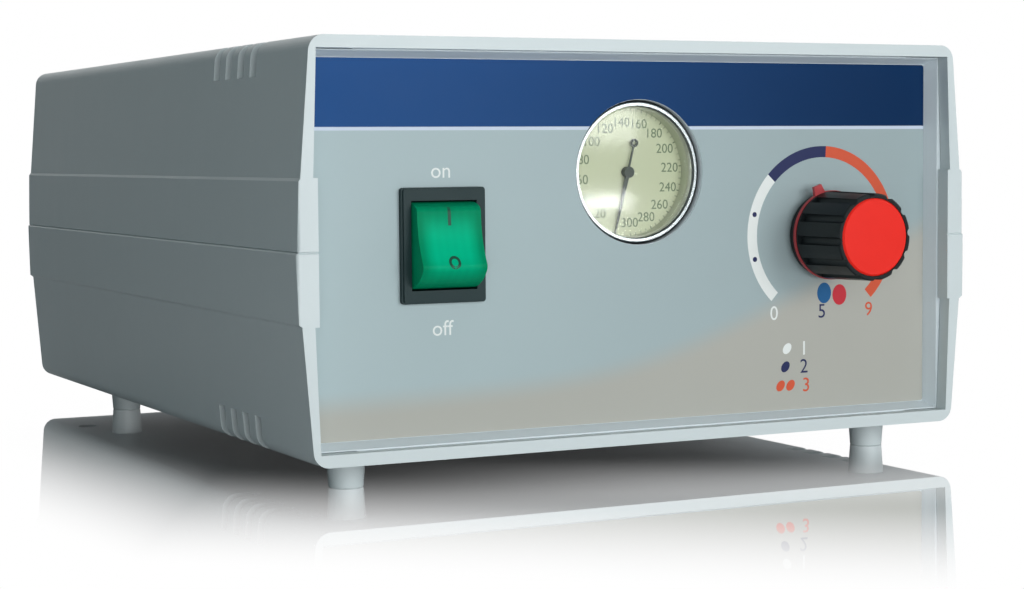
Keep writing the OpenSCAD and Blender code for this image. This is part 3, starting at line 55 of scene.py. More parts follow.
FACE_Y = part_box("panel_film")[0].y
KNOB_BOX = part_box("knob_body")
KNOB_X = (KNOB_BOX[0].x + KNOB_BOX[1].x) / 2
KNOB_Z = (KNOB_BOX[0].z + KNOB_BOX[1].z) / 2
DIAL_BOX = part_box("gauge_dial")
DIAL_Z = (DIAL_BOX[0].z + DIAL_BOX[1].z) / 2
DIAL_Y = DIAL_BOX[0].y
RIM_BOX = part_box("gauge_bezel")
RIM_R = (RIM_BOX[1].x - RIM_BOX[0].x) / 2
SWITCH_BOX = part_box("switch_housing")
SWITCH_X = (SWITCH_BOX[0].x + SWITCH_BOX[1].x) / 2
SWITCH_Z = (SWITCH_BOX[0].z + SWITCH_BOX[1].z) / 2


def paint(red, green, blue):
    """A colour given as it looks on a screen, 0 to 255, turned to the scene's linear light."""
    return tuple(
        c / 12.92 if c <= 0.04045 else ((c + 0.055) / 1.055) ** 2.4
        for c in (red / 255, green / 255, blue / 255)
    )


# Settings a user would change --------------------------------------------------------------


def colour(label, about, shade):
    return FloatVectorProperty(
        name=label, description=about, subtype="COLOR", size=3, min=0, max=1, default=paint(*shade)
    )


def power(label, about, watts):
    return FloatProperty(name=label, description=about, default=watts, min=0, subtype="POWER")


def share(label, about, part):
    return FloatProperty(name=label, description=about, default=part, min=0, max=1, subtype="FACTOR")


def length(label, about, millimetres):
    return FloatProperty(
        name=label,
        description=about,
        default=millimetres * MM,
        min=0,
        subtype="DISTANCE",
        unit="LENGTH",
        precision=5,
    )


class PumpColours(bpy.types.PropertyGroup):
    case: colour("Case", "Moulded shells and feet", (200, 211, 213))
    panel: colour("Panel", "Front and rear panels behind the print", (212, 223, 228))
    film_cool: colour("Print, main", "Cool grey of the printed front", (161, 178, 181))
    film_warm: colour("Print, corner", "Warm grey of the print's lower right", (172, 173, 166))
    stripe: colour("Stripe", "Dark band along the top of the print", (2, 54, 103))
    line: colour("Line", "Thin line under the stripe", (196, 208, 224))
    words: colour("Words", "Pale lettering and pale end of the scale", (224, 230, 228))
    housing: colour("Switch housing", "Frame round the rocker", (30, 50, 52))
    rocker: colour("Rocker", "Tinted rocker of the mains switch", (0, 150, 104))
    dial: colour("Dial", "Paper face of the gauge", (209, 213, 189))
    dial_ink: colour("Dial ink", "Numbers and ticks of the gauge", (112, 128, 106))
    needle: colour("Needle", "Needle of the gauge", (52, 62, 62))
    knob: colour("Knob", "Fluted body of the knob", (22, 28, 30))
    cap: colour("Cap", "Cap on the knob", (230, 32, 18))
    pointer: colour("Pointer", "Ring and pointer at the foot of the knob", (172, 50, 56))
    scale_mid: colour("Scale, middle", "Dark part of the pressure scale", (28, 38, 84))
    scale_high: colour("Scale, high", "Warm part of the pressure scale", (204, 84, 54))


class PumpPrint(bpy.types.PropertyGroup):
    ink: length("Ink", "How far the print stands off its surface", 0.03)
    scale_in: length("Scale, inner", "Inner radius of the pressure scale", 23.0)
    scale_out: length("Scale, outer", "Outer radius of the pressure scale", 26.3)
    number: length("Numbers", "Height of the numbers and words on the panel", 4.16)
    number_drop: length("Scale numbers", "How far the scale's numbers stand below the knob's axis", 22.8)
    number_side: length("Scale ends", "How far the first and last number stand beside the knob's axis", 17.0)
    word_above: length("Upper word", "How far the word over the switch stands above its middle", 20.4)
    word_below: length("Lower word", "How far the word under the switch stands below its middle", 22.6)
    dot_w: length("Dot width", "Width of the leaning dots of the legend", 2.6)
    dot_h: length("Dot height", "Height of the leaning dots of the legend", 3.6)
    spot_w: length("Spot width", "Width of the two spots under the knob", 5.0)
    spot_h: length("Spot height", "Height of the two spots under the knob", 6.2)
    stripe_foot: length("Stripe foot", "Height above the floor where the stripe ends", 98.15)
    line_w: length("Line width", "Width of the line under the stripe", 0.95)
    dial_ring: length("Dial numbers", "Radius of the circle of numbers on the dial", 14.5)
    dial_number: length("Dial figures", "Height of the numbers on the dial", 2.7)
    dial_ticks: length("Dial ticks", "Radius where the ticks of the dial begin", 17.6)
    dial_step: IntProperty(name="Dial step", description="Pressure between two dial numbers", default=20)


class PumpStage(bpy.types.PropertyGroup):
    key: power("Key lamp", "Power of the lamp at the front right", 3.2)
    fill: power("Front lamp", "Power of the wide lamp in front", 7.0)
    low: power("Low lamp", "Power of the strip that lights from the floor", 2.4)
    room: share("Room light", "Soft light from all round", 0.65)
    mirror: share("Floor mirror", "How much the floor mirrors at its clearest", 0.97)


# Materials ---------------------------------------------------------------------------------


class Value:
    """A socket that reads as a number in an expression, adding its Math nodes."""

    def __init__(self, nodes, socket):
        self.nodes = nodes
        self.socket = socket

    def math(self, operation, *values):
        return self.nodes.math(operation, self, *values)

    def __add__(self, other):
        return self.math("ADD", other)

    def __sub__(self, other):
        return self.math("SUBTRACT", other)

    def __mul__(self, other):
        return self.math("MULTIPLY", other)

    def __truediv__(self, other):
        return self.math("DIVIDE", other)

    def __radd__(self, other):
        return self.nodes.math("ADD", other, self)

    def __rsub__(self, other):
        return self.nodes.math("SUBTRACT", other, self)

    def __rmul__(self, other):
        return self.nodes.math("MULTIPLY", other, self)

    def __rtruediv__(self, other):
        return self.nodes.math("DIVIDE", other, self)

    def root(self):
        return self.math("SQRT")

    def size(self):
        return self.math("ABSOLUTE")

    def wave(self, pitch):
        """A sine wave, -1 to 1, that repeats at each pitch."""
        return (self * (2 * math.pi / pitch)).math("SINE")

    def rise(self, low, high):
        """0 below low and 1 above high, with a soft step between."""
        node = self.nodes.node(
            "ShaderNodeMapRange",
            {"interpolation_type": "SMOOTHSTEP"},
            {"Value": self, "From Min": low, "From Max": high},
        )
        return Value(self.nodes, node.outputs[0])


def distance(across, up):
    """How far a point lies from where both values are 0."""
    return (across * across + up * up).root()


class Nodes:
    """A node tree, emptied and built again node by node."""

    def __init__(self, owner):
        owner.use_nodes = True
        self.tree = owner.node_tree
        self.tree.nodes.clear()

    def node(self, kind, settings, values):
        """Adds a node: its settings come first, then a value or a link for each named socket."""
        made = self.tree.nodes.new(kind)
        for key, setting in settings.items():
            setattr(made, key, setting)
        for key, value in values.items():
            self.feed(made.inputs[key], value)
        return made

    def feed(self, socket, value):
        if isinstance(value, Value):
            value = value.socket
        if isinstance(value, bpy.types.NodeSocket):
            self.tree.links.new(value, socket)
        elif socket.type == "RGBA" and len(value) == 3:
            socket.default_value = (*value, 1)
        else:
            socket.default_value = value

    def math(self, operation, *values):
        node = self.node("ShaderNodeMath", {"operation": operation}, dict(enumerate(values)))
        return Value(self, node.outputs[0])

    def blend(self, factor, first, second):
        """One shader below factor 0 and the other above 1."""
        return self.node("ShaderNodeMixShader", {}, {0: factor, 1: first, 2: second}).outputs[0]


class Finish(Nodes):
    """One material. Constants for its shader are given by socket name."""

    def __init__(self, name, **sockets):
        self.material = bpy.data.materials.new(name)
        super().__init__(self.material)
        constants = {key.replace("_", " "): value for key, value in sockets.items()}
        self.shader = self.node("ShaderNodeBsdfPrincipled", {}, constants)
        self.output = self.node("ShaderNodeOutputMaterial", {}, {"Surface": self.shader.outputs[0]})

    def place(self):
        return self.node("ShaderNodeTexCoord", {}, {}).outputs["Object"]

    def axes(self):
        """The surface's own x, y and z, in metres."""
        split = self.node("ShaderNodeSeparateXYZ", {}, {"Vector": self.place()})
        return [Value(self, s) for s in split.outputs]

    def grain(self, size, detail=2.0, roughness=0.5, stretch=(1, 1, 1)):
        """Soft noise whose spots are about size metres across, 0 to 1."""
        spread = self.node("ShaderNodeMapping", {}, {"Vector": self.place(), "Scale": stretch})
        node = self.node(
            "ShaderNodeTexNoise",
            {},
            {"Vector": spread.outputs[0], "Scale": 1 / size, "Detail": detail, "Roughness": roughness},
        )
        return Value(self, node.outputs[0])

    def mix(self, factor, first, second):
        node = self.node(
            "ShaderNodeMix", {"data_type": "RGBA", "clamp_factor": True}, {0: factor, 6: first, 7: second}
        )
        return node.outputs[2]

    def shade(self, base, factor, darker, lighter):
        """A plain colour that wanders between two brightnesses."""
        return self.mix(factor, [c * darker for c in base], [min(1, c * lighter) for c in base])

    def bump(self, height, depth, strength):
        values = {"Height": height, "Distance": depth, "Strength": strength}
        return self.node("ShaderNodeBump", {}, values).outputs[0]

    def wear(self, **links):
        """Feeds what varies over the surface to the shader: real wear and tone, and in some materials
        painted light.
        """
        for key, value in links.items():
            self.feed(self.shader.inputs[key.replace("_", " ")], value)


def plastic(name, base, gloss=0.42, grain=0.35, depth=0.012, mottle=0.02, shine=0.45):
    """Moulded plastic: spark-eroded grain, a faint wander of tone and small rub marks in the gloss."""
    finish = Finish(name, Specular_IOR_Level=shine)
    fine = finish.grain(grain * MM, 3.0)
    broad = finish.grain(38 * MM, 2.0)
    rub = finish.grain(9 * MM, 4.0, 0.65, (1, 1, 0.35))
    finish.wear(
        Base_Color=finish.shade(base, broad * 0.7 + fine * 0.3, 1 - mottle, 1 + mottle),
        Roughness=gloss + (rub - 0.5) * 0.16,
        Normal=finish.bump(fine, depth * MM, 0.6),
    )
    return finish.material


def metal(name, base, gloss, brushed=(1, 1, 1)):
    """Bare or plated metal: drawn or turned lines, a little tarnish and uneven gloss."""
    finish = Finish(name, Metallic=1.0)
    lines = finish.grain(0.25 * MM, 4.0, 0.6, brushed)
    tarnish = finish.grain(6 * MM, 3.0)
    finish.wear(
        Base_Color=finish.shade(base, tarnish * 0.6 + lines * 0.4, 0.86, 1.06),
        Roughness=gloss + (lines - 0.5) * 0.25 + (tarnish - 0.5) * 0.12,
        Normal=finish.bump(lines, 0.004 * MM, 0.5),
    )
    return finish.material


def rubber(name, base):
    """Moulded rubber: dull, with dust in its texture."""
    finish = Finish(name, Specular_IOR_Level=0.35)
    bloom = finish.grain(11 * MM, 4.0)
    fine = finish.grain(0.5 * MM, 2.0)
    finish.wear(
        Base_Color=finish.shade(base, bloom, 0.8, 1.35),
        Roughness=0.62 + (bloom - 0.5) * 0.2,
        Normal=finish.bump(fine, 0.02 * MM, 0.6),
    )
    return finish.material


def ink(name, base):
    """Screen-printed ink: even, with the faint weave of the screen."""
    finish = Finish(name, Specular_IOR_Level=0.25)
    x, _, z = finish.axes()
    screen = 0.698 * MM
    weave = x.wave(screen) * z.wave(screen)
    tone = finish.grain(3 * MM, 2.0)
    finish.wear(
        Base_Color=finish.shade(base, tone * 0.7 + weave * 0.15 + 0.15, 0.95, 1.04),
        Roughness=0.45 + (tone - 0.5) * 0.1,
    )
    return finish.material


def dress(material, *names):
    """Gives a material to CAD nodes, whose shape stays as it is."""
    for name in names:
        slots = NODES[name].data.materials
        slots.clear()
        slots.append(material)


# Shapes ------------------------------------------------------------------------------------


def on_front(x, y, z):
    """A frame on a surface that faces forwards: x to the right, y up, z out of the surface."""
    return Matrix.Translation((x, y, z)) @ Matrix.Rotation(math.pi / 2, 4, "X")


def shift(x, y, z=0):
    return Matrix.Translation((x, y, z))


def clock(degrees):
    """A turn in a surface, in degrees clockwise from the top."""
    return Matrix.Rotation(-math.radians(degrees), 4, "Z")


def into_object(name, shape, material):
    """Turns a bmesh into an object whose place is in its mesh."""
    mesh = bpy.data.meshes.new(name)
    shape.to_mesh(mesh)
    shape.free()
    mesh.materials.append(material)
    made = bpy.data.objects.new(name, mesh)
    bpy.context.scene.collection.objects.link(made)
    return made


def piece(name, shape, material, body):
    """Closes a bmesh, makes it an object and lets it ride on its body."""
    bmesh.ops.remove_doubles(shape, verts=shape.verts, dist=0.0005 * MM)
    bmesh.ops.recalc_face_normals(shape, faces=shape.faces)
    made = into_object(name, shape, material)
    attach(made, body)


def band(shape, r_in, r_out, start, end, height, where):
    """Part of a flat ring, angles in degrees clockwise from the top."""
    degrees_a_step = 4
    corners = ((0, r_in, 0), (0, r_out, 0), (0, r_out, height), (0, r_in, height))
    first = [bmesh.ops.create_vert(shape, co=clock(start) @ Vector(c))["vert"][0] for c in corners]
    section = bmesh.ops.contextual_create(shape, geom=first)["faces"][0]
    old = set(shape.verts) - set(first)
    bmesh.ops.spin(
        shape,
        geom=[section, *section.edges, *first],
        cent=(0, 0, 0),
        axis=(0, 0, -1),
        angle=math.radians(end - start),
        steps=max(3, round((end - start) / degrees_a_step)),
        use_merge=end - start >= 360,
    )
    new = [v for v in shape.verts if v not in old]
    open_edges = {e for v in new for e in v.link_edges if len(e.link_faces) < 2}
    if open_edges:
        bmesh.ops.holes_fill(shape, edges=list(open_edges), sides=4)
    bmesh.ops.transform(shape, matrix=where, verts=new)


def oval(shape, width, tall, height, where, segments=32):
    """A flat oval on a frame, raised by height."""
    made = bmesh.ops.create_circle(shape, cap_ends=True, segments=segments, radius=0.5)["verts"]
    bmesh.ops.scale(shape, vec=(width, tall, 1), verts=made)
    foot = {f for v in made for f in v.link_faces}
    top = bmesh.ops.extrude_face_region(shape, geom=list(foot))["geom"]
    lifted = [v for v in top if isinstance(v, bmesh.types.BMVert)]
    bmesh.ops.translate(shape, vec=(0, 0, height), verts=lifted)
    bmesh.ops.transform(shape, matrix=where, verts=[*made, *lifted])


def bar(shape, width, tall, height, where):
    """A flat bar centred on a frame, raised by height."""
    made = bmesh.ops.create_cube(shape, size=1)["verts"]
    bmesh.ops.scale(shape, vec=(width, tall, height), verts=made)
    bmesh.ops.translate(shape, vec=(0, 0, height / 2), verts=made)
    bmesh.ops.transform(shape, matrix=where, verts=made)


def lettering(shape, text, tall, height, where):
    """Figures centred on a frame, tall metres high, raised by height."""
    curve = bpy.data.curves.new("lettering", "FONT")
    curve.body = text
    curve.align_x = "CENTER"
    curve.size = tall / CAPITAL
    curve.extrude = height / 2
    curve.resolution_u = 4
    holder = bpy.data.objects.new("lettering", curve)
    bpy.context.scene.collection.objects.link(holder)
    bpy.context.view_layer.update()
    flat = bpy.data.meshes.new_from_object(holder.evaluated_get(bpy.context.evaluated_depsgraph_get()))
    bpy.data.objects.remove(holder)
    bpy.data.curves.remove(curve)
    before = set(shape.verts)
    shape.from_mesh(flat)
    bpy.data.meshes.remove(flat)
    new = [v for v in shape.verts if v not in before]
    bmesh.ops.translate(shape, vec=(0, -tall / 2, height / 2), verts=new)
    bmesh.ops.transform(shape, matrix=where, verts=new)


def drape(shape, node):
    """Lays a flat shape, drawn on the plane y = 0, on the front of a node."""
    long_edges = [e for e in shape.edges if e.calc_length() > 2 * MM]
    bmesh.ops.subdivide_edges(shape, edges=long_edges, cuts=11, use_grid_fill=True)
    backwards = Vector((0, 1, 0))
    for v in shape.verts:
        in_front = Vector((v.co.x, -1, v.co.z))
        hit, place, _, _ = NODES[node].ray_cast(in_front, backwards)
        if not hit:
            raise RuntimeError(f"nothing of {node} lies behind x {v.co.x:.4f}, z {v.co.z:.4f}")
        v.co.y += place.y


# Operators ---------------------------------------------------------------------------------


class PieceOperator:
    """What every operator here shares: a way to read the settings."""

    bl_options = {"REGISTER", "UNDO"}

    @property
    def colours(self):
        return bpy.context.scene.pump_colours

    @property
    def print_sizes(self):
        return bpy.context.scene.pump_print


class PUMP_OT_case(PieceOperator, bpy.types.Operator):
    """Finish the shells, feet, rear panel and the screws that hold them"""

    bl_idname = "pump.case"
    bl_label = "Case"

    def execute(self, context):
        shell = plastic("case_plastic", self.colours.case, 0.4, 0.4, 0.014, 0.015)
        dress(shell, "upper_shell", "lower_shell")
        feet = plastic("foot_plastic", [c * 0.96 for c in self.colours.case], 0.46, 0.5)
        dress(feet, "foot_front_left", "foot_front_right", "foot_rear_left", "foot_rear_right")
        dress(plastic("rear_plastic", self.colours.panel, 0.45), "rear_panel")
        zinc = metal("zinc_screw", paint(196, 200, 204), 0.34, (1, 1, 3))
        dress(zinc, "case_screws", "foot_screws", "gauge_screws")
        dress(zinc, "pump_screws", "motor_screws", "inlet_screws")
        return {"FINISHED"}


class PUMP_OT_front(PieceOperator, bpy.types.Operator):
    """Finish the front panel and lay its print: stripe, two greys, pressure scale and numbers"""

    bl_idname = "pump.front"
    bl_label = "Front panel and print"

    # Where the scale's parts meet and its two small marks stand, in degrees clockwise from the top.
    SCALE = (-137, -46.6, 3, 137.5)
    MARKS = (-106, -75)
    # Each row of the legend: its height, the places of its dots and that of its number, in mm.
    ROWS = {1: (32.3, (50.0,), 56.0), 2: (26.9, (49.4,), 56.0), 3: (21.3, (47.7, 51.2), 56.8)}

    def film(self):
        c, p = self.colours, self.print_sizes
        finish = Finish("printed_film", Specular_IOR_Level=0.1)
        x, _, z = finish.axes()
        # The warm grey lies under a line that is level at the left and climbs at the right.
        slope, bend, level = 0.22, 8 * MM, 22 * MM
        edge = x * slope + (x * x * slope**2 + bend**2).root() + level
        warm = (z - edge).rise(5 * MM, -4 * MM)
        tone = finish.grain(45 * MM, 2.0)
        # Painted light: this mask is 1 at the film's left end and 0 at its right end, and lightens the cool
        # grey and the stripe towards the left.
        painted_left_light = x.rise(100 * MM, -105 * MM)
        cool = finish.shade(c.film_cool, painted_left_light * 0.8 + tone * 0.2, 0.88, 1.12)
        field = finish.mix(warm, cool, finish.shade(c.film_warm, tone, 0.97, 1.02))
        stripe = finish.mix(painted_left_light, [v * 0.62 for v in c.stripe], [v * 1.6 for v in c.stripe])
        foot = z - p.stripe_foot
        soft = 0.08 * MM
        lined = finish.mix((foot + p.line_w).rise(-soft, soft), field, c.line)
        drawn = finish.mix(foot.rise(-soft, soft), lined, stripe)
        fine = finish.grain(0.28 * MM, 2.0)
        rub = finish.grain(14 * MM, 4.0, 0.6)
        finish.wear(
            Base_Color=drawn,
            Roughness=0.36 + (rub - 0.5) * 0.12,
            Normal=finish.bump(fine, 0.004 * MM, 0.5),
        )
        return finish.material

    def legend(self, shape, number):
        """One row of the legend: its leaning dots and its number."""
        p = self.print_sizes
        height, dots, figure = self.ROWS[number]
        for x in dots:
            dot = on_front(x * MM, FACE_Y, height * MM) @ Matrix.Rotation(-0.7, 4, "Z")
            oval(shape, p.dot_w, p.dot_h, p.ink, dot)
        lettering(shape, str(number), p.number, p.ink, on_front(figure * MM, FACE_Y, height * MM))

    def execute(self, context):
        c, p = self.colours, self.print_sizes
        dress(plastic("panel_plastic", c.panel, 0.44), "front_panel")
        dress(self.film(), "panel_film")
        knob = on_front(KNOB_X, FACE_Y, KNOB_Z)
        start, low_end, middle_end, end = self.SCALE

        pale = bmesh.new()
        band(pale, p.scale_in, p.scale_out, start, low_end, p.ink, knob)
        lettering(pale, "0", p.number, p.ink, knob @ shift(-p.number_side, -p.number_drop))
        lettering(pale, "on", p.number, p.ink, on_front(SWITCH_X, FACE_Y, SWITCH_Z + p.word_above))
        lettering(pale, "off", p.number, p.ink, on_front(SWITCH_X, FACE_Y, SWITCH_Z - p.word_below))
        self.legend(pale, 1)
        piece("print_pale", pale, ink("ink_pale", c.words), "case")

        dark = bmesh.new()
        band(dark, p.scale_in, p.scale_out, low_end, middle_end, p.ink, knob)
        for degrees in self.MARKS:
            mark = knob @ clock(degrees) @ shift(0, (p.scale_in + p.scale_out) / 2, p.ink)
            oval(dark, 1.5 * MM, 1.5 * MM, p.ink * 0.5, mark, 20)
        self.legend(dark, 2)
        lettering(dark, "5", p.number, p.ink, knob @ shift(0, -p.number_drop))
        piece("print_dark", dark, ink("ink_dark", c.scale_mid), "case")

        warm = bmesh.new()
        band(warm, p.scale_in, p.scale_out, middle_end, end, p.ink, knob)
        self.legend(warm, 3)
        lettering(warm, "9", p.number, p.ink, knob @ shift(p.number_side, -p.number_drop))
        piece("print_warm", warm, ink("ink_warm", c.scale_high), "case")

        blue = bmesh.new()
        oval(blue, p.spot_w, p.spot_h, p.ink, knob @ shift(0.8 * MM, -17.5 * MM))
        piece("print_blue", blue, ink("ink_blue", paint(16, 88, 140)), "case")

        red = bmesh.new()
        oval(red, p.spot_w, p.spot_h, p.ink, knob @ shift(6.3 * MM, -18.2 * MM, p.ink))
        piece("print_red", red, ink("ink_red", paint(190, 42, 56)), "case")
        return {"FINISHED"}


class PUMP_OT_switch(PieceOperator, bpy.types.Operator):
    """Finish the rocker switch, with a painted glow and painted shade on its rocker, and mark its two ends
    """

    bl_idname = "pump.switch"
    bl_label = "Rocker switch"

    def rocker(self):
        c = self.colours.rocker
        finish = Finish(
            "rocker_lens",
            Specular_IOR_Level=0.03,
            Coat_Roughness=0.3,
            Subsurface_Weight=0.25,
            Subsurface_Scale=0.002,
            # Painted glow: the rocker gives off a little light of its own.
            Emission_Strength=0.22,
        )
        x, _, z = finish.axes()
        rib, half_w, half_h = 2.4 * MM, 9.5 * MM, 11 * MM
        ribs = (x - (SWITCH_X - rib / 4)).wave(rib)
        cloud = finish.grain(5 * MM, 3.0)
        # Painted light: the rocker is lighter and glows most in its middle, and is darker towards its edges;
        # the faint rib stripes and the cloud are its own tone.
        middle = 1 - ((x - SWITCH_X).size() / half_w).rise(0.5, 1.0)
        level = 1 - ((z - SWITCH_Z).size() / half_h).rise(0.2, 1.0)
        tone = ribs * 0.03 + cloud * 0.15 + middle * level * 0.7
        finish.wear(
            Base_Color=finish.mix(tone, [v * 0.68 for v in c], [min(1, v * 1.4) for v in c]),
            Emission_Color=finish.mix(middle * level, [v * 0.2 for v in c], (0, c[1], c[2] * 2)),
            Roughness=0.45 + cloud * 0.1,
            Coat_Weight=cloud * 0.03,
            Normal=finish.bump(cloud, 0.02 * MM, 0.4),
        )
        return finish.material

    def execute(self, context):
        c, p = self.colours, self.print_sizes
        dress(plastic("switch_frame", c.housing, 0.4, 0.3, 0.006, shine=0.15), "switch_housing")
        dress(self.rocker(), "switch_rocker")
        brass = metal("contact_brass", paint(206, 178, 104), 0.3, (1, 1, 0.2))
        dress(brass, "switch_terminals", "inlet_blades")
        on_mark = on_front(SWITCH_X, 0, SWITCH_Z + 8.2 * MM)
        off_mark = on_front(SWITCH_X, 0, SWITCH_Z - 4.4 * MM)
        marks = bmesh.new()
        bar(marks, 0.9 * MM, 5.4 * MM, p.ink, on_mark)
        band(marks, 1.0 * MM, 1.75 * MM, 0, 360, p.ink, off_mark)
        drape(marks, "switch_rocker")
        piece("switch_marks", marks, ink("mark_dark", paint(18, 74, 56)), "rocker")
        return {"FINISHED"}


class PUMP_OT_gauge(PieceOperator, bpy.types.Operator):
    """Finish the pressure gauge, its glass and works, and print its dial"""

    bl_idname = "pump.gauge"
    bl_label = "Pressure gauge"

    # Where the dial's zero stands and how far its numbers are apart, in degrees clockwise from the top.
    ZERO = 194.0
    STEP = 22.8
    COUNT = 15
    LONG_TICK = (0.3 * MM, 1.5 * MM)
    SHORT_TICK = (0.16 * MM, 0.8 * MM)

    def glass(self):
        finish = Finish("gauge_glass", Metallic=1.0, Roughness=0.1)
        haze = finish.grain(4 * MM, 3.0)
        finish.wear(Base_Color=finish.shade((0.95, 0.97, 0.95), haze, 0.97, 1.0))
        clear = finish.node("ShaderNodeBsdfTransparent", {}, {"Color": (0.97, 0.98, 0.96)}).outputs[0]
        edge = Value(finish, finish.node("ShaderNodeFresnel", {}, {"IOR": 1.45}).outputs[0])
        joined = finish.blend(edge + haze * 0.02, clear, finish.shader.outputs[0])
        finish.feed(finish.output.inputs["Surface"], joined)
        return finish.material

    def rim(self):
        """Chrome whose outermost edge is painted dark, a painted dark reflection."""
        finish = Finish("chrome", Metallic=1.0)
        x, _, z = finish.axes()
        # Painted reflection: the outermost edge of the chrome is painted dark, as if it mirrored something
        # dark.
        dark = distance(x, z - DIAL_Z).rise(RIM_R - 0.85 * MM, RIM_R - 0.5 * MM)
        spots = finish.grain(3 * MM, 4.0)
        finish.wear(
            Base_Color=finish.mix(dark, paint(196, 204, 206), paint(34, 40, 42)),
            Roughness=0.24 + (spots - 0.5) * 0.1,
            Normal=finish.bump(spots, 0.001 * MM, 0.5),
        )
        return finish.material

    def paper(self):
        finish = Finish("dial_paper", Specular_IOR_Level=0.3)
        fibre = finish.grain(0.4 * MM, 3.0)
        age = finish.grain(12 * MM, 3.0)
        finish.wear(
            Base_Color=finish.shade(self.colours.dial, age * 0.7 + fibre * 0.3, 0.95, 1.04),
            Roughness=0.6 + (fibre - 0.5) * 0.1,
            Normal=finish.bump(fibre, 0.006 * MM, 0.5),
        )
        return finish.material

    def execute(self, context):
        c, p = self.colours, self.print_sizes
        # The gauge case is dark plastic; where its lip shows in the panel's hole, its dark colour also
        # serves as painted shade in that gap.
        dress(plastic("gauge_black", paint(40, 46, 48), 0.4), "gauge_case")
        dress(self.rim(), "gauge_bezel")
        dress(self.glass(), "gauge_lens")
        dress(plastic("spacer_white", paint(190, 194, 178), 0.5), "gauge_spacer")
        dress(self.paper(), "gauge_dial")
        dress(plastic("needle_paint", c.needle, 0.4, 0.3, 0.004), "gauge_needle")
        dress(metal("works_brass", paint(204, 174, 98), 0.28, (1, 1, 4)), "gauge_sector", "gauge_capsule")
        dress(metal("plate_steel", paint(186, 190, 194), 0.36, (4, 1, 1)), "gauge_plate", "gauge_clamp")

        dial = on_front(0, DIAL_Y, DIAL_Z)
        marks = bmesh.new()
        for i in range(1, self.COUNT + 1):
            angle = math.radians(self.ZERO + i * self.STEP)
            number = dial @ shift(p.dial_ring * math.sin(angle), p.dial_ring * math.cos(angle))
            lettering(marks, str(i * p.dial_step), p.dial_number, p.ink, number)
        for i in range(self.COUNT * 4 + 1):
            width, tall = self.SHORT_TICK if i % 4 else self.LONG_TICK
            tick = dial @ clock(self.ZERO + i * self.STEP / 4) @ shift(0, p.dial_ticks + tall / 2)
            bar(marks, width, tall, p.ink, tick)
        piece("dial_print", marks, ink("dial_ink", c.dial_ink), "case")
        return {"FINISHED"}


class PUMP_OT_knob(PieceOperator, bpy.types.Operator):
    """Finish the fluted pressure knob and the regulator behind it"""

    bl_idname = "pump.knob"
    bl_label = "Pressure knob"

    def cap(self):
        finish = Finish("knob_cap_red", Specular_IOR_Level=0.25)
        x, _, z = finish.axes()
        rings = distance(x - KNOB_X, z - KNOB_Z).wave(0.45 * MM)
        tone = finish.grain(7 * MM, 3.0)
        finish.wear(
            Base_Color=finish.shade(self.colours.cap, tone * 0.8 + rings * 0.1 + 0.1, 0.93, 1.05),
            Roughness=0.38 + (tone - 0.5) * 0.14,
            Normal=finish.bump(rings, 0.003 * MM, 0.5),
        )
        return finish.material

    def execute(self, context):
        c = self.colours
        dress(plastic("knob_black", c.knob, 0.4, 0.35, 0.01, shine=0.2), "knob_body")
        dress(self.cap(), "knob_cap")
        dress(plastic("pointer_red", c.pointer, 0.4), "knob_pointer")
        dress(metal("regulator_alloy", paint(188, 190, 190), 0.4), "regulator_body", "regulator_plunger")
        dress(metal("nickel", paint(206, 204, 196), 0.24), "regulator_nut", "nozzle_nuts")
        spindle = metal("spindle_steel", paint(176, 180, 186), 0.22, (1, 6, 1))
        dress(spindle, "regulator_spindle", "drive_shaft")
        dress(metal("spring_steel", paint(164, 168, 172), 0.26), "regulator_spring")
        dress(rubber("poppet_rubber", paint(52, 50, 50)), "regulator_poppet")
        return {"FINISHED"}


class PUMP_OT_air(PieceOperator, bpy.types.Operator):
    """Finish the diaphragm pump, its coils, and the rotary distributor with its motor"""

    bl_idname = "pump.air"
    bl_label = "Air pump and distributor"

    def coils(self):
        finish = Finish("coil_copper", Metallic=0.6, Coat_Roughness=0.2)
        turns = finish.axes()[2].wave(0.5 * MM)
        tone = finish.grain(4 * MM, 3.0)
        finish.wear(
            Base_Color=finish.mix(tone * 0.7 + turns * 0.2, paint(112, 52, 26), paint(204, 118, 64)),
            Roughness=0.36 + (tone - 0.5) * 0.2,
            Coat_Weight=0.3 + tone * 0.2,
            Normal=finish.bump(turns, 0.06 * MM, 0.8),
        )
        return finish.material

    def laminated(self):
        finish = Finish("laminated_steel", Metallic=0.9)
        sheets = finish.axes()[1].wave(0.5 * MM)
        rust = finish.grain(8 * MM, 4.0)
        finish.wear(
            Base_Color=finish.mix(rust * 0.6 + sheets * 0.1, paint(96, 100, 108), paint(150, 148, 146)),
            Roughness=0.42 + (rust - 0.5) * 0.25,
            Normal=finish.bump(sheets, 0.03 * MM, 0.6),
        )
        return finish.material

    def execute(self, context):
        plate = metal("zinc_plate", paint(184, 190, 192), 0.38, (1, 5, 1))
        dress(plate, "pump_base", "motor_bracket", "pump_frame")
        dress(self.laminated(), "pump_cores", "pump_armature")
        dress(self.coils(), "pump_coils")
        dress(rubber("mount_rubber", paint(44, 44, 46)), "pump_mounts", "diaphragm_left", "diaphragm_right")
        dress(plastic("head_plastic", paint(44, 48, 52), 0.42), "pump_heads")
        dress(metal("motor_can", paint(172, 176, 180), 0.3, (1, 0.15, 1)), "gear_motor")
        dress(plastic("valve_white", paint(222, 222, 214), 0.42), "valve_body", "valve_cover", "valve_disc")
        return {"FINISHED"}


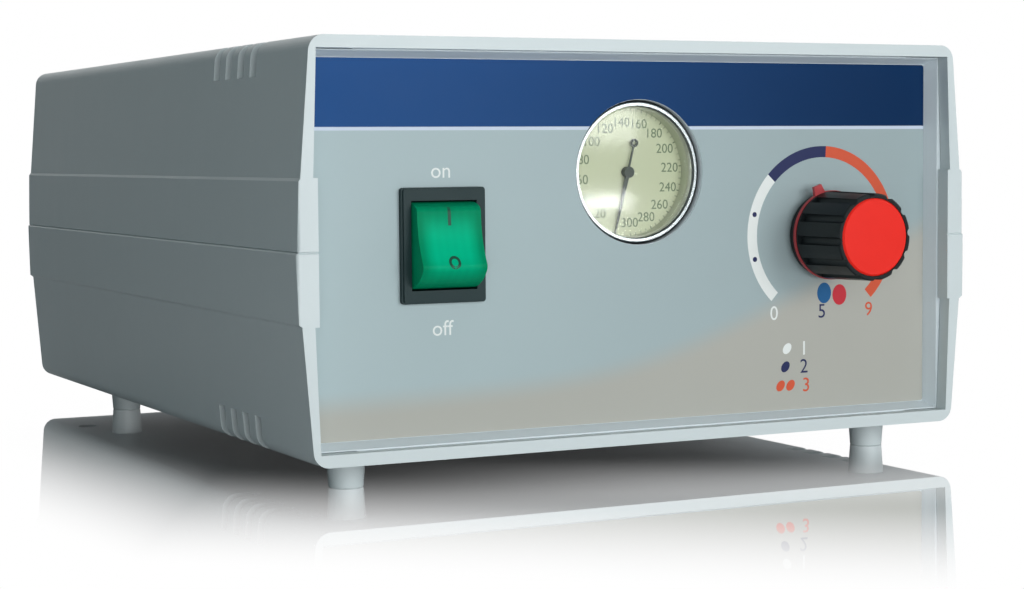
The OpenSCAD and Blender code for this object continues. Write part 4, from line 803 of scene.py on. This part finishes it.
class PUMP_OT_rear(PieceOperator, bpy.types.Operator):
    """Finish the cuff outlets, the mains inlet with its fuse drawer, and the hoses"""

    bl_idname = "pump.rear"
    bl_label = "Rear fittings and hoses"

    def fuse_glass(self):
        finish = Finish("fuse_glass", Specular_IOR_Level=0.6)
        tone = finish.grain(2 * MM, 2.0)
        finish.wear(
            Base_Color=finish.mix(tone, paint(176, 184, 180), paint(214, 220, 214)),
            Roughness=0.12 + tone * 0.1,
        )
        return finish.material

    def hose(self, name, base):
        finish = Finish(name, Specular_IOR_Level=0.5, Subsurface_Weight=0.3, Subsurface_Scale=0.002)
        cloud = finish.grain(9 * MM, 3.0)
        finish.wear(
            Base_Color=finish.shade(base, cloud, 0.92, 1.04),
            Roughness=0.32 + (cloud - 0.5) * 0.2,
            Normal=finish.bump(cloud, 0.05 * MM, 0.4),
        )
        return finish.material

    def execute(self, context):
        dress(plastic("outlet_plastic", paint(214, 216, 212), 0.36), "outlet_nozzles")
        dress(plastic("inlet_black", paint(34, 36, 38), 0.36), "mains_inlet", "fuse_drawer")
        dress(self.fuse_glass(), "fuses")
        dress(self.hose("silicone_hose", paint(206, 208, 200)), "outlet_hoses")
        dress(self.hose("pressure_hose", paint(196, 202, 198)), "pressure_hoses")
        return {"FINISHED"}


class PUMP_OT_stage(PieceOperator, bpy.types.Operator):
    """Set the floor, the soft studio light and the camera"""

    bl_idname = "pump.stage"
    bl_label = "Studio"

    def ground(self, start, ahead):
        """The floor, whose mirror fades along a line from start in the direction ahead."""
        s = bpy.context.scene.pump_stage
        bpy.ops.mesh.primitive_plane_add(size=12)
        floor = bpy.context.object
        floor.name = "studio_floor"
        finish = Finish("studio_floor", Roughness=0.7, Specular_IOR_Level=0.2)
        x, y, _ = finish.axes()
        tone = finish.grain(0.4, 2.0)
        finish.wear(Base_Color=finish.shade((0.62, 0.62, 0.63), tone, 0.99, 1.0))
        seen = Value(finish, finish.node("ShaderNodeLightPath", {}, {}).outputs["Is Camera Ray"])
        white = finish.node("ShaderNodeEmission", {}, {"Color": (1, 1, 1), "Strength": 1.0}).outputs[0]
        # The floor's own shade shows a little round the feet, and the floor is plain white beyond them.
        away = (x * x * 1.7 + y * y).root().rise(0.14, 0.2)
        lit = finish.blend(seen * (away * 0.2 + 0.8), finish.shader.outputs[0], white)
        # The mirror is drawn on the floor: clear under the object, gone half a metre from the near end
        # of the line ahead. It is weaker to the left and under the right of the front edge.
        depth = (x - start.x) * ahead.x + (y - start.y) * ahead.y
        across = (x - start.x) * ahead.y - (y - start.y) * ahead.x
        left = (across + 0.085).math("MINIMUM", 0.0)
        dull = across.rise(-0.06, 0.05) * depth.rise(0.535, 0.575) * (1 - depth.rise(0.58, 0.64))
        fade = (depth + across * 0.25 + left * 1.25).rise(0.452, 0.605) * (1 - dull * 0.3)
        near = 1 - distance(x, y).rise(0.27, 0.4)
        mirror = finish.node("ShaderNodeBsdfGlossy", {}, {"Color": (1, 1, 1), "Roughness": 0.02})
        both = finish.blend(seen * fade * near * s.mirror, lit, mirror.outputs[0])
        finish.feed(finish.output.inputs["Surface"], both)
        floor.data.materials.append(finish.material)

    def world(self):
        """White where it is looked at or mirrored, and a soft light on the object."""
        room = bpy.context.scene.pump_stage.room
        world = bpy.data.worlds.new("studio")
        bpy.context.scene.world = world
        nodes = Nodes(world)
        path = nodes.node("ShaderNodeLightPath", {}, {}).outputs
        seen = Value(nodes, path["Is Camera Ray"])
        for ray in ("Is Glossy Ray", "Is Transmission Ray"):
            seen = seen.math("MAXIMUM", path[ray])
        light = nodes.node(
            "ShaderNodeBackground", {}, {"Color": (1, 1, 1), "Strength": seen * (1 - room) + room}
        )
        nodes.node("ShaderNodeOutputWorld", {}, {"Surface": light.outputs[0]})

    def lamp(self, name, place, aim, size, power):
        light = bpy.data.lights.new(name, "AREA")
        light.shape = "RECTANGLE"
        light.size, light.size_y = size
        light.energy = power
        holder = bpy.data.objects.new(name, light)
        bpy.context.scene.collection.objects.link(holder)
        turn = (aim - place).to_track_quat("-Z", "Y").to_matrix().to_4x4()
        holder.matrix_world = Matrix.Translation(place) @ turn

    def card(self, name, place, half, turn):
        """A dark card outside the view, which keeps one side's light and reflections down."""
        shape = bmesh.new()
        bmesh.ops.create_grid(shape, x_segments=1, y_segments=1, size=half)
        where = Matrix.Translation(place) @ Matrix.Rotation(math.pi / 2, 4, turn)
        bmesh.ops.transform(shape, matrix=where, verts=shape.verts)
        cloth = Finish(name, Roughness=0.9, Specular_IOR_Level=0.1)
        fold = cloth.grain(0.2, 2.0)
        cloth.wear(Base_Color=cloth.shade((0.08, 0.13, 0.14), fold, 0.8, 1.2))
        made = into_object(name, shape, cloth.material)
        made.visible_camera = False

    def camera(self):
        eye = Vector((-307.2, -665.5, 90.9)) * MM
        yaw, pitch, roll = (math.radians(a) for a in (26.52, 3.76, -0.47))
        level = math.cos(pitch)
        ahead = Vector((math.sin(yaw) * level, math.cos(yaw) * level, -math.sin(pitch)))
        right = Vector((math.cos(yaw), -math.sin(yaw), 0))
        up = right.cross(ahead)
        across = math.cos(roll) * right + math.sin(roll) * up
        over = math.cos(roll) * up - math.sin(roll) * right
        data = bpy.data.cameras.new("camera")
        data.lens = 75.73
        data.sensor_width = 36
        data.clip_start = 0.01
        holder = bpy.data.objects.new("camera", data)
        bpy.context.scene.collection.objects.link(holder)
        turn = Matrix((across, over, -ahead)).transposed().to_4x4()
        holder.matrix_world = Matrix.Translation(eye) @ turn
        bpy.context.scene.camera = holder
        return eye, ahead

    def execute(self, context):
        s = context.scene.pump_stage
        eye, ahead = self.camera()
        self.ground(eye, ahead)
        self.world()
        middle = Vector((0, -0.05, 0.06))
        self.lamp("key", Vector((0.4, -1.2, 0.31)), middle, (0.4, 0.32), s.key)
        self.lamp("front", Vector((-0.2, -1.4, 0.2)), middle, (1.2, 0.8), s.fill)
        self.lamp("low", Vector((-0.1, -0.95, 0.012)), Vector((0, -0.14, 0.12)), (1.2, 0.02), s.low)
        self.card("card_left", Vector((-0.42, 0.55, 0.6)), 1.0, "Y")
        self.card("card_front", Vector((0.3, -1.7, 0.9)), 2.2, "X")
        context.scene.view_settings.view_transform = "Standard"
        return {"FINISHED"}


OPERATORS = (
    PUMP_OT_case,
    PUMP_OT_front,
    PUMP_OT_switch,
    PUMP_OT_gauge,
    PUMP_OT_knob,
    PUMP_OT_air,
    PUMP_OT_rear,
    PUMP_OT_stage,
)


class PUMP_PT_panel(bpy.types.Panel):
    """Lists the pump's pieces, its colours and the studio"""

    bl_idname = "PUMP_PT_panel"
    bl_label = "Compression therapy pump"
    bl_space_type = "VIEW_3D"
    bl_region_type = "UI"
    bl_category = "Pump"

    def draw(self, context):
        scene = context.scene
        for group in (scene.pump_colours, scene.pump_print, scene.pump_stage):
            box = self.layout.box()
            for key in group.bl_rna.properties.keys():
                if key not in {"rna_type", "name"}:
                    box.prop(group, key)
        for operator in OPERATORS:
            self.layout.operator(operator.bl_idname)


CLASSES = (PumpColours, PumpPrint, PumpStage, *OPERATORS, PUMP_PT_panel)


def register():
    for cls in CLASSES:
        bpy.utils.register_class(cls)
    bpy.types.Scene.pump_colours = PointerProperty(type=PumpColours)
    bpy.types.Scene.pump_print = PointerProperty(type=PumpPrint)
    bpy.types.Scene.pump_stage = PointerProperty(type=PumpStage)


def unregister():
    del bpy.types.Scene.pump_stage
    del bpy.types.Scene.pump_print
    del bpy.types.Scene.pump_colours
    for cls in reversed(CLASSES):
        bpy.utils.unregister_class(cls)


def main():
    register()
    bpy.ops.pump.case()
    bpy.ops.pump.front()
    bpy.ops.pump.switch()
    bpy.ops.pump.gauge()
    bpy.ops.pump.knob()
    bpy.ops.pump.air()
    bpy.ops.pump.rear()
    bpy.ops.pump.stage()


if __name__ == "__main__":
    main()
